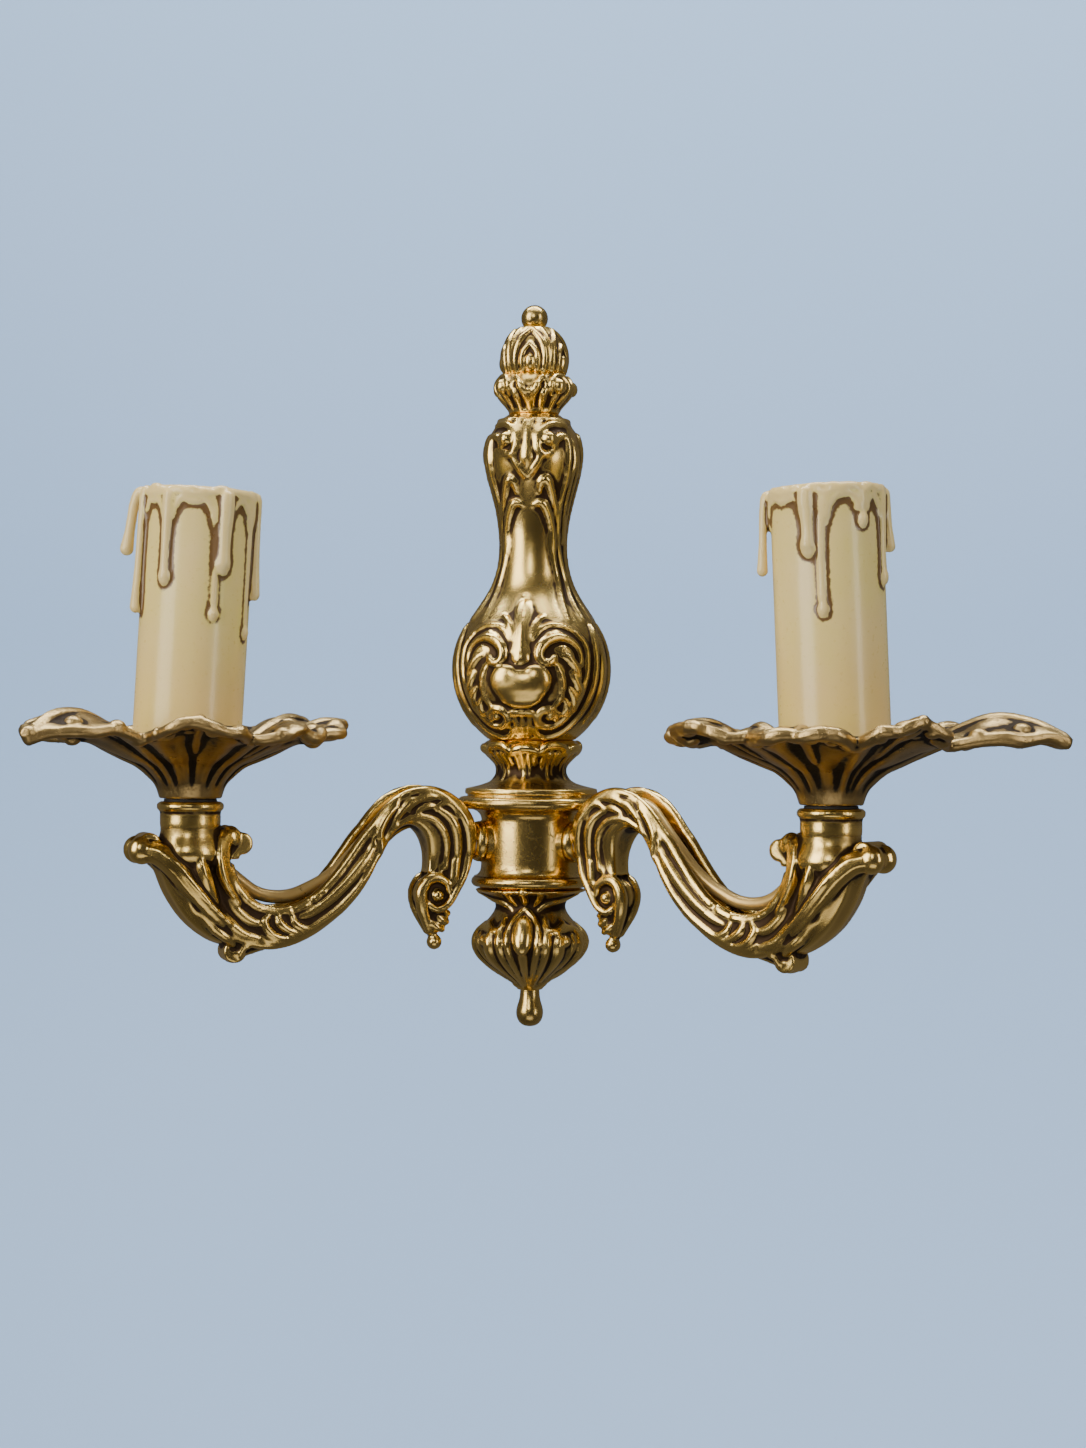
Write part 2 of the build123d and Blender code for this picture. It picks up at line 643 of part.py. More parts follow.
BLOCK_Z = -BLOCK_BELOW_HOLE
with BuildPart() as terminal_block:
    with BuildSketch(WALL.offset(PLATE_T)):
        with Locations((0, BLOCK_Z)):
            RectangleRounded(BLOCK_W, BLOCK_H, 0.6)
    extrude(amount=BLOCK_D)
    with BuildSketch(WALL.offset(PLATE_T + BLOCK_D)):
        with Locations((0, BLOCK_Z)):
            with GridLocations(BLOCK_SCREW_PITCH, 0, 3, 1):
                Circle(BLOCK_SCREW_R + FIT)
    extrude(amount=-0.6 * BLOCK_D, mode=Mode.SUBTRACT)
save(terminal_block.part, "terminal_block")

with BuildPart() as terminal_screws:
    with BuildSketch(WALL.offset(PLATE_T + 0.45 * BLOCK_D)):
        with Locations((0, BLOCK_Z)):
            with GridLocations(BLOCK_SCREW_PITCH, 0, 3, 1):
                Circle(BLOCK_SCREW_R)
    extrude(amount=0.4 * BLOCK_D)
save(terminal_screws.part, "terminal_screws")

with BuildPart() as earth_screw:
    with BuildSketch(WALL.offset(0.2)):
        with Locations((EARTH_X, -EARTH_BELOW_HOLE)):
            Circle(EARTH_SCREW_R)
    extrude(amount=PLATE_T + 0.4)
    with BuildSketch(WALL.offset(PLATE_T)):
        with Locations((EARTH_X, -EARTH_BELOW_HOLE)):
            Circle(EARTH_HEAD_R)
    extrude(amount=EARTH_HEAD_H)
save(earth_screw.part, "earth_screw")

# =============================== Arms, pans and candles, one of each a side


def from_face(ds, z):
    """A point of the arm's plane measured from the limb's face."""
    return (FACE + ds, z)


def from_cup(ds, z):
    """A point of the arm's plane measured from the cup's axis."""
    return (CUP_REACH + ds, z)


def by_limb(out, up):
    """A point of the arm's plane, in shares of the volute's place and of the arch's height."""
    return from_face(out * VOLUTE_FROM_FACE, up * ARCH_TOP)


def by_cup(out, down):
    """A point of the arm's plane, in shares of the cup's bulb out from its axis and of the bend's depth."""
    return from_cup(out * CUP_BULB_R, down * BEND_LOW)


def on_slope(share, z):
    """A point of the arm's plane, a share of the way from the limb's face to the cup's axis."""
    return (between(FACE, CUP_REACH, share), z)


def polar(radius, angle):
    """The point at a radius and an angle in degrees."""
    return (radius * cos(radians(angle)), radius * sin(radians(angle)))


# The edge that the channel opens on, from the limb's foot over the arch and down to the cup
ARM_UPPER_EDGE = [
    by_limb(0.278, -0.777),
    by_limb(0.056, -0.27),
    by_limb(0.093, 0.365),
    by_limb(0.63, 0.845),
    on_slope(0.216, ARCH_TOP),
    on_slope(0.33, 0.6 * ARCH_TOP),
    on_slope(0.429, 0.109 * BEND_LOW),
    on_slope(0.543, 0.438 * BEND_LOW),
    on_slope(0.673, 0.62 * BEND_LOW),
    on_slope(0.75, 0.655 * BEND_LOW),
    by_cup(-1.447, 0.474),
    by_cup(-1.106, 0.182),
]
# The closed back of the channel, from the limb's foot under the arch, along the slope and up to the cup
ARM_LOWER_EDGE = [
    by_limb(1.287, -0.709),
    by_limb(1.213, -0.203),
    by_limb(1.454, 0.223),
    by_limb(1.759, 0.318),
    on_slope(0.287, 0.243 * ARCH_TOP),
    on_slope(0.331, 0.036 * BEND_LOW),
    on_slope(0.399, 0.35 * BEND_LOW),
    on_slope(0.499, 0.69 * BEND_LOW),
    on_slope(0.606, 0.9 * BEND_LOW),
    on_slope(0.736, BEND_LOW),
    by_cup(-1.011, 0.898),
    by_cup(-0.213, 0.693),
    by_cup(0.383, 0.383),
]
VOLUTE = from_face(VOLUTE_FROM_FACE, -VOLUTE_DOWN)
TAIL_TIP = from_face(0.963 * VOLUTE_FROM_FACE, -TAIL_DOWN)
TAIL_CURVE = [
    by_limb(0.296, -0.811),
    by_limb(0.5, -1.351),
    (TAIL_TIP[0] - 0.7 * TAIL_BALL_R, TAIL_TIP[1] - 0.4 * TAIL_BALL_R),
]
CUP_CURVE = [
    (0.045 * CUP_BULB_R, -CUP_POINT_DOWN),
    (0.383 * CUP_BULB_R, -0.7 * CUP_POINT_DOWN),
    (0.9 * CUP_BULB_R, between(-CUP_BULB_DOWN, -CUP_POINT_DOWN, 0.2)),
    (CUP_BULB_R, -CUP_BULB_DOWN),
    (1.038 * CUP_NECK_R, between(-CUP_BULB_DOWN, CUP_TOP, 0.3)),
    (CUP_NECK_R, between(-CUP_BULB_DOWN, CUP_TOP, 0.55)),
]
FLEX_IN_ARM = [
    from_face(FLEX_FROM_FACE, 0.0),
    from_face(1.135 * FLEX_FROM_FACE, 0.628 * ARCH_TOP),
    on_slope(0.27, 0.78 * ARCH_TOP),
    on_slope(0.38, 0.088 * ARCH_TOP),
    on_slope(0.5, 0.321 * BEND_LOW),
    on_slope(0.655, 0.52 * BEND_LOW),
    on_slope(0.765, 0.5 * BEND_LOW),
    by_cup(-1.011, 0.255),
    by_cup(0, -0.055),
]
PAN_UNDER = [
    (PAN_BASE_R, 0.0),
    (between(PAN_BASE_R, PAN_OPENS_R, 0.2), 0.42 * PAN_OPENS_UP),
    (between(PAN_BASE_R, PAN_OPENS_R, 0.55), 0.79 * PAN_OPENS_UP),
    (PAN_OPENS_R, PAN_OPENS_UP),
    (between(PAN_OPENS_R, PAN_CREST_R, 0.5), between(PAN_OPENS_UP, PAN_CREST_UP, 0.46)),
    (PAN_CREST_R, PAN_CREST_UP),
    (PAN_DROOP_R, PAN_DROOP_UP),
]

for hand, side in SIDES.items():
    arm = arm_plane(side)
    cup = cup_plane(side)
    sleeve = sleeve_plane(side)
    cup_axis = Axis(cup.origin, UP)

    # ---- Arm casting: one open channel from the hub to the cup
    with BuildPart() as arm_casting:
        with BuildSketch(arm):
            with BuildLine():
                upper = Spline(*ARM_UPPER_EDGE)
                lower = Spline(*ARM_LOWER_EDGE)
                Line(upper @ 1, lower @ 1)
                Line(upper @ 0, lower @ 0)
            make_face()
        extrude(amount=0.5 * ARM_W, both=True)
        fillet(edges().filter_by(lambda edge: edge.length > ARM_W + 1), ARM_EDGE)
        with BuildSketch(arm):
            with BuildLine():
                floor = Spline(*beside(ARM_LOWER_EDGE[1:-2], ARM_FLOOR))
                Polyline(
                    floor @ 1,
                    by_cup(-0.638, 0.438),
                    by_cup(-1.011, 0.146),
                    by_cup(-1.702, 0.146),
                    on_slope(0.65, ARCH_TOP),
                    on_slope(0.35, 1.6 * ARCH_TOP),
                    from_face(-0.83 * ARM_SIDE, 1.6 * ARCH_TOP),
                    from_face(-0.83 * ARM_SIDE, 1.22 * SPACER_R),
                    from_face(LIMB_BLOCK, 1.22 * SPACER_R),
                    from_face(LIMB_BLOCK, floor.position_at(0).Y),
                    floor @ 0,
                )
            make_face()
        extrude(amount=0.5 * ARM_W - ARM_SIDE, both=True, mode=Mode.SUBTRACT)
        # Volute at the limb's foot, with its eye and tail leaf
        with BuildSketch(arm):
            with Locations(VOLUTE):
                Circle(VOLUTE_R)
        extrude(amount=0.5 * ARM_W, both=True)
        for face in (arm.offset(0.5 * ARM_W - VOLUTE_GROOVE), arm.offset(-0.5 * ARM_W)):
            with BuildSketch(face):
                with Locations(VOLUTE):
                    Circle(VOLUTE_GROOVE_R)
                    Circle(VOLUTE_EYE_R, mode=Mode.SUBTRACT)
            extrude(amount=VOLUTE_GROOVE, mode=Mode.SUBTRACT)
        with BuildSketch(arm):
            with BuildLine():
                tail = Spline(*TAIL_CURVE)
                Polyline(tail @ 1, TAIL_TIP, (VOLUTE[0] + 1.0, VOLUTE[1]), tail @ 0)
            make_face()
            with Locations(TAIL_TIP):
                Circle(TAIL_BALL_R)
        extrude(amount=0.5 * TAIL_T, both=True)
        # Knob under the bend and the two curls of the cup
        with BuildSketch(arm):
            with Locations(from_cup(-KNOB_IN, -KNOB_DOWN)):
                Circle(KNOB_R)
        extrude(amount=0.5 * KNOB_L, both=True)
        with BuildSketch(arm):
            with Locations(from_cup(CURL_OUT, 0), from_cup(-CURL_IN, 0)):
                Circle(CURL_R)
            with Locations(from_cup(0, -0.6 * CURL_R)):
                Rectangle(CURL_OUT + CURL_IN, 1.6 * CURL_R)
        extrude(amount=0.5 * CURL_L, both=True)
        with BuildSketch(cup):
            add(half_profile(CUP_CURVE))
            add(
                straight_profile(
                    (0, CUP_CURVE[-1][1]),
                    CUP_CURVE[-1],
                    (CUP_NECK_R, CUP_TOP - CUP_COLLAR_H),
                    (CUP_COLLAR_R, CUP_TOP - 0.8 * CUP_COLLAR_H),
                    (CUP_COLLAR_R, CUP_TOP - 0.3 * CUP_COLLAR_H),
                    (CUP_NECK_R, CUP_TOP),
                    (0, CUP_TOP),
                )
            )
        revolve(axis=cup_axis)
        # Inside of the cup, the way in for the flex and the hole for the upright tube
        with BuildSketch(upright(cup, 0, -CUP_CAVITY_DOWN)):
            Circle(CUP_CAVITY_R)
        extrude(amount=CUP_CAVITY_DOWN + CUP_TOP - CUP_NIPPLE_IN_CUP, mode=Mode.SUBTRACT)
        with BuildSketch(upright(cup, 0, 0)):
            Circle(NIPPLE_R + FIT)
        extrude(amount=CUP_TOP, mode=Mode.SUBTRACT)
        way_in = arm.from_local_coords((*FLEX_IN_ARM[-2], 0))
        way_out = arm.from_local_coords((*FLEX_IN_ARM[-1], 0))
        with BuildSketch(Plane(origin=way_in, z_dir=way_out - way_in)):
            Circle(FLEX_HOLE_R)
        extrude(amount=(way_out - way_in).length, mode=Mode.SUBTRACT)
        # Flat pad and threaded hole at the limb's face
        with BuildSketch(across(arm, FACE, 0)):
            Circle(SPACER_R)
        extrude(amount=LIMB_BLOCK)
        with BuildSketch(across(arm, FACE, 0)):
            Circle(NIPPLE_R + FIT)
        extrude(amount=LIMB_BLOCK, mode=Mode.SUBTRACT)
    save(arm_casting.part, f"{hand}_arm")

    with BuildPart() as arm_spacer:
        with BuildSketch(across(arm, SEAT_FACE, 0)):
            Circle(SPACER_R)
        extrude(amount=SPACER_T)
        fillet(edges().filter_by(GeomType.CIRCLE), SPACER_RIM)
        with BuildSketch(across(arm, SEAT_FACE, 0)):
            Circle(NIPPLE_R + FIT)
        extrude(amount=SPACER_T, mode=Mode.SUBTRACT)
    save(arm_spacer.part, f"{hand}_arm_spacer")

    with BuildPart() as arm_nipple:
        with BuildSketch(across(arm, NIPPLE_INNER, 0)):
            Circle(NIPPLE_R)
            Circle(NIPPLE_BORE_R, mode=Mode.SUBTRACT)
        extrude(amount=FACE + NIPPLE_IN_ARM - NIPPLE_INNER)
    save(arm_nipple.part, f"{hand}_arm_nipple")

    with BuildPart() as arm_nut:
        with BuildSketch(across(arm, NUT_SEAT - NUT_T, 0)):
            RegularPolygon(NUT_FLATS / 2, 6, major_radius=False)
            Circle(NIPPLE_R + FIT, mode=Mode.SUBTRACT)
        extrude(amount=NUT_T)
    save(arm_nut.part, f"{hand}_arm_nut")

    with BuildPart() as pan_gasket:
        with BuildSketch(upright(cup, 0, CUP_TOP)):
            Circle(GASKET_R)
            Circle(NIPPLE_R + FIT, mode=Mode.SUBTRACT)
        extrude(amount=GASKET_T)
    save(pan_gasket.part, f"{hand}_pan_gasket")

    # ---- Drip pan: a turned trumpet and dish, cut to the outline of its leaves
    with BuildPart() as drip_pan:
        with BuildSketch(face_on(cup, 0, PAN_BASE)):
            with BuildLine():
                under = Spline(*PAN_UNDER)
                over = Spline(*beside(PAN_UNDER[2:], PAN_T))
                Line(under @ 1, over @ 1)
                Polyline(over @ 0, (PAN_THROAT_R, PAN_FLOOR_T), (0, PAN_FLOOR_T), (0, 0), under @ 0)
            make_face()
        revolve(axis=cup_axis)
        with BuildSketch(upright(cup, 0, PAN_BASE + PAN_LEDGE_UP)):
            Circle(PAN_LEDGE_R)
        extrude(amount=PAN_CREST_UP, mode=Mode.SUBTRACT)
        with BuildSketch(upright(cup, 0, PAN_BASE)):
            Circle(NIPPLE_R + FIT)
        extrude(amount=PAN_FLOOR_T, mode=Mode.SUBTRACT)
        with BuildSketch(upright(cup, 0, PAN_BASE - PAN_T)):
            with BuildLine():
                for i, reach in enumerate(PAN_LOBE_REACH):
                    at = PAN_TURN[hand] + i * LOBE_STEP
                    Spline(
                        polar(PAN_VALLEY_R, at - 0.5 * LOBE_STEP),
                        polar(reach, at),
                        polar(PAN_VALLEY_R, at + 0.5 * LOBE_STEP),
                    )
            make_face()
        extrude(amount=PAN_CREST_UP + 3 * PAN_T, mode=Mode.INTERSECT)
    save(drip_pan.part, f"{hand}_drip_pan")

    with BuildPart() as pan_nut:
        with BuildSketch(upright(cup, 0, PAN_BASE + PAN_FLOOR_T)):
            RegularPolygon(NUT_FLATS / 2, 6, major_radius=False)
            Circle(NIPPLE_R + FIT, mode=Mode.SUBTRACT)
        extrude(amount=NUT_T)
    save(pan_nut.part, f"{hand}_pan_nut")

    with BuildPart() as gallery:
        with BuildSketch(upright(cup, 0, GALLERY_FOOT)):
            Circle(GALLERY_R)
            Circle(NIPPLE_R + FIT, mode=Mode.SUBTRACT)
        extrude(amount=GALLERY_T)
    save(gallery.part, f"{hand}_gallery")

    # ---- Upright tube and lampholder
    tube_foot = CUP_TOP - CUP_NIPPLE_IN_CUP
    with BuildPart() as cup_nipple:
        with BuildSketch(upright(cup, 0, tube_foot)):
            Circle(NIPPLE_R)
            Circle(NIPPLE_BORE_R, mode=Mode.SUBTRACT)
        extrude(amount=GALLERY_TOP + HOLDER_BASE_H - tube_foot)
    save(cup_nipple.part, f"{hand}_cup_nipple")

    with BuildPart() as lampholder:
        with BuildSketch(upright(cup, 0, GALLERY_TOP)):
            Circle(HOLDER_R)
        extrude(amount=HOLDER_TOP - GALLERY_TOP)
        with BuildSketch(upright(cup, 0, GALLERY_TOP)):
            Circle(NIPPLE_R + FIT)
        extrude(amount=HOLDER_BASE_H, mode=Mode.SUBTRACT)
        with BuildSketch(upright(cup, 0, GALLERY_TOP + HOLDER_BASE_H)):
            Circle(HOLDER_R - HOLDER_WALL)
        extrude(amount=HOLDER_TOP - GALLERY_TOP - HOLDER_BASE_H, mode=Mode.SUBTRACT)
    save(lampholder.part, f"{hand}_lampholder")

    with BuildPart() as socket_insulator:
        with BuildSketch(upright(cup, 0, INSULATOR_FOOT)):
            Circle(HOLDER_R - HOLDER_WALL - FIT)
        extrude(amount=INSULATOR_H)
        with BuildSketch(upright(cup, 0, INSULATOR_FOOT)):
            with Locations((-HOLDER_SCREW_OFF, 0), (HOLDER_SCREW_OFF, 0)):
                Circle(HOLDER_SCREW_R + FIT)
        extrude(amount=HOLDER_SCREW_L, mode=Mode.SUBTRACT)
        with BuildSketch(upright(cup, 0, CONTACT_FOOT)):
            Circle(CONTACT_R + CONTACT_ROOM)
        extrude(amount=SOCKET_FOOT - CONTACT_FOOT, mode=Mode.SUBTRACT)
    save(socket_insulator.part, f"{hand}_socket_insulator")

    with BuildPart() as socket_screws:
        with BuildSketch(upright(cup, 0, INSULATOR_FOOT)):
            with Locations((-HOLDER_SCREW_OFF, 0), (HOLDER_SCREW_OFF, 0)):
                Circle(HOLDER_SCREW_R)
        extrude(amount=HOLDER_SCREW_L)
    save(socket_screws.part, f"{hand}_socket_screws")

    with BuildPart() as socket_shell:
        with BuildSketch(upright(cup, 0, SOCKET_FOOT)):
            Circle(SOCKET_R + SOCKET_T)
            Circle(SOCKET_R, mode=Mode.SUBTRACT)
        extrude(amount=SOCKET_L)
    save(socket_shell.part, f"{hand}_socket_shell")

    with BuildPart() as centre_contact:
        with BuildSketch(upright(cup, 0, CONTACT_FOOT)):
            Circle(0.5 * CONTACT_R)
        extrude(amount=CONTACT_RISE)
        with BuildSketch(upright(cup, 0, CONTACT_FOOT + CONTACT_RISE)):
            Circle(CONTACT_R)
        extrude(amount=CONTACT_T)
    save(centre_contact.part, f"{hand}_centre_contact")

    # ---- Candle sleeve, with the wax cast on it
    with BuildPart() as candle_sleeve:
        with BuildSketch(upright(sleeve, 0, 0)):
            Circle(SLEEVE_R)
        extrude(amount=SLEEVE_L)
        with BuildSketch(upright(sleeve, 0, SLEEVE_L - WAX_RIM_H)):
            Circle(SLEEVE_R + WAX_RIM_T)
        extrude(amount=WAX_RIM_H + WAX_RIM_RISE)
        fillet(edges().filter_by(GeomType.CIRCLE).group_by(SortBy.RADIUS)[-1], 0.8 * WAX_RIM_T)
        for angle, length in WAX_RUNS[hand]:
            at = polar(SLEEVE_R, angle)
            with BuildSketch(upright(sleeve, 0, SLEEVE_L - length)):
                with Locations(at):
                    Circle(WAX_RUN_R)
            extrude(amount=length)
            with Locations(upright(sleeve, 0, SLEEVE_L - length).from_local_coords((*at, 0))):
                Sphere(WAX_DROP_R)
        with BuildSketch(upright(sleeve, 0, 0)):
            Circle(SLEEVE_R - SLEEVE_WALL)
        extrude(amount=SLEEVE_L + WAX_RIM_RISE, mode=Mode.SUBTRACT)
    save(candle_sleeve.part, f"{hand}_candle_sleeve")

    # ---- Flex, from the terminal block down beside the rod, out along the arm and up to the lampholder
    beside_rod = arm.from_local_coords((FLEX_OFF, 0, 0))
    block_foot = -BLOCK_BELOW_HOLE - 0.5 * BLOCK_H
    at_block = Vector(side * BLOCK_SCREW_PITCH, -PLATE_T - 0.5 * BLOCK_D, block_foot)
    route = [
        at_block,
        at_block - Vector(0, 0, FLEX_TAIL),
        Vector(beside_rod.X, beside_rod.Y, FLEX_NECK_UP - HUB_DROP),
        beside_rod,
        *[arm.from_local_coords((x, z, 0)) for x, z in FLEX_IN_ARM],
        arm.from_local_coords((CUP_REACH, INSULATOR_FOOT, 0)),
    ]
    tight = {3: FLEX_HUB_BEND, 4: FLEX_LIMB_BEND, 5: FLEX_ARCH_BEND}
    radii = bend_radii([tuple(point) for point in route], tight)
    print(hand, "flex radii", [round(radius, 1) for radius in radii])
    with BuildPart() as flex:
        with BuildLine() as run:
            FilletPolyline(*route, radius=radii)
        with BuildSketch(Plane(origin=run.line @ 0, z_dir=run.line % 0)):
            Circle(FLEX_R)
        sweep()
    print(hand, "flex length", round(run.wire().length, 1), "mm")
    save(flex.part, f"{hand}_flex")
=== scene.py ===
"""Looks of a double arm wall sconce: aged cast brass, leaf drip pans and cream candle sleeves.

Shapes are worked in millimetres and become metres when a piece is finished. Body heights are counted from the
arms' axis, and a body point is (x to the viewer's right, height) or (angle from the front, height).
"""

import json
import logging
from dataclasses import dataclass, field
from enum import Enum
from math import asin, atan2, cos, degrees, hypot, pi, radians, sin

import bmesh
import bpy
import numpy as np
from mathutils import Matrix, Vector, noise
from mathutils.bvhtree import BVHTree


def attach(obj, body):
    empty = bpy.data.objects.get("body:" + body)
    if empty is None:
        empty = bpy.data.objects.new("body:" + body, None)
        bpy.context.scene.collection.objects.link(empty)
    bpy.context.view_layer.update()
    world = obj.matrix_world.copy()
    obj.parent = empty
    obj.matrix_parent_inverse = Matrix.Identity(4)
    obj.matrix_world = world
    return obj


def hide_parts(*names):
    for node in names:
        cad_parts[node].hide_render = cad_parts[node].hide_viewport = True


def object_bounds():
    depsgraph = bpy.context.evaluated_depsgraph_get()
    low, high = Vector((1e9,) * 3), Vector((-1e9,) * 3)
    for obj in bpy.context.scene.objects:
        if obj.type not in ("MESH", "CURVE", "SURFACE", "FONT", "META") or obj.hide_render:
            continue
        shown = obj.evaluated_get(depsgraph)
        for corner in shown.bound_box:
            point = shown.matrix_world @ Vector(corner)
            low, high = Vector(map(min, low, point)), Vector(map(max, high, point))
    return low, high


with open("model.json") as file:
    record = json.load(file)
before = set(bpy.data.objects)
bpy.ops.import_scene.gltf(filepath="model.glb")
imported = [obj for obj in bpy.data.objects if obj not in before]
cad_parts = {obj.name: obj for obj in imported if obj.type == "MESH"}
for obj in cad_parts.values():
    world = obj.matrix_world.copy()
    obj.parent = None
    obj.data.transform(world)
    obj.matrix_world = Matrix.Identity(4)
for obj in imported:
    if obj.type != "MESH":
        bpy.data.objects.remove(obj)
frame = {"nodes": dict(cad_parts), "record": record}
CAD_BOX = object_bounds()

LOG = logging.getLogger("sconce")
MM = 0.001
HUB_DROP = 51.5
AXIS_OFF = 9.0
ARM_ANGLE = radians(28)
CUP_REACH = 93.0
Point = tuple[float, float]


class Lay(Enum):
    """How a relief line is laid on its casting."""

    FRONT = "seen from the front"
    BACK = "seen from behind"
    ROUND = "wrapped round the upright axis"


class Hand(Enum):
    """The two arms, by the side the viewer sees them on."""

    RIGHT = 1
    LEFT = -1

    @property
    def word(self) -> str:
        """The hand's name in the model."""
        return self.name.lower()


BODY_PLACE = Matrix.Translation((0, -AXIS_OFF, -HUB_DROP))


def arm_place(hand: Hand) -> Matrix:
    """Where one arm stands: local X runs outward, local -Y faces the viewer and local Z is up.

    Args:
        hand: which arm.

    Returns:
        The matrix from arm millimetres to the sconce's millimetres.
    """
    place = BODY_PLACE @ Matrix.Rotation(-ARM_ANGLE, 4, "Z")
    return Matrix.Scale(hand.value, 4, (1, 0, 0)) @ place


def smooth_run(points: list, steps: int = 6) -> np.ndarray:
    """A smooth run through the given points.

    Args:
        points: rows of numbers, such as x, z and radius.
        steps: how many points each span gets.

    Returns:
        The rows along the run, ends included.
    """
    rows = np.array(points, float)
    if len(rows) < 3:
        share = np.linspace(0, 1, 2 * steps)[:, None]
        return rows[0] * (1 - share) + rows[-1] * share
    padded = np.vstack([2 * rows[0] - rows[1], rows, 2 * rows[-1] - rows[-2]])
    run = []
    for i in range(1, len(rows)):
        a, b, c, d = padded[i - 1 : i + 3]
        for t in np.arange(steps) / steps:
            run.append(0.5 * (2 * b + (c - a) * t + (2 * a - 5 * b + 4 * c - d) * t**2 + (3 * b - a - 3 * c + d) * t**3))
    run.append(rows[-1])
    return np.array(run)


@dataclass(frozen=True)
class Ridge:
    """One raised line of relief with a round back.

    Attributes:
        path: the points it runs through, as (x or angle, height).
        radii: its radius at the points; fewer radii are spread evenly along it.
        sink: share of the radius that lies under the surface.
        lay: how the line is laid on the casting.
        ease: how often its depth is evened out along the line.
    """

    path: tuple[Point, ...]
    radii: tuple[float, ...]
    sink: float = 0.45
    lay: Lay = Lay.FRONT
    ease: int = 0

    def mirrored(self) -> "Ridge":
        """The same ridge on the other side of the middle."""
        return Ridge(tuple((-x, z) for x, z in self.path), self.radii, self.sink, self.lay, self.ease)

    def moved(self, by: float) -> "Ridge":
        """The same ridge further round or across."""
        return Ridge(tuple((x + by, z) for x, z in self.path), self.radii, self.sink, self.lay, self.ease)

    def bolder(self, by: float, lift: float) -> "Ridge":
        """The same ridge, thicker and standing higher."""
        return Ridge(self.path, tuple(by * r for r in self.radii), self.sink - lift, self.lay, self.ease)

    def laid(self, lay: Lay) -> "Ridge":
        """The same ridge laid in another way."""
        return Ridge(self.path, self.radii, self.sink, lay, self.ease)


@dataclass(frozen=True)
class Knob:
    """One raised ball or oval of relief.

    Attributes:
        at: its place, as (x or angle, height).
        size: its half sizes across, out and up.
        sink: how deep its middle lies under the surface.
        lay: how the place is meant.
    """

    at: Point
    size: tuple[float, float, float]
    sink: float = 0.0
    lay: Lay = Lay.FRONT

    def mirrored(self) -> "Knob":
        """The same knob on the other side of the middle."""
        return Knob((-self.at[0], self.at[1]), self.size, self.sink, self.lay)

    def laid(self, lay: Lay) -> "Knob":
        """The same knob laid in another way."""
        return Knob(self.at, self.size, self.sink, lay)


def both_sides(relief: list) -> list:
    """Each ridge or knob with its mirror image.

    Args:
        relief: ridges and knobs.

    Returns:
        The same with their mirror images after them.
    """
    return relief + [one.mirrored() for one in relief]


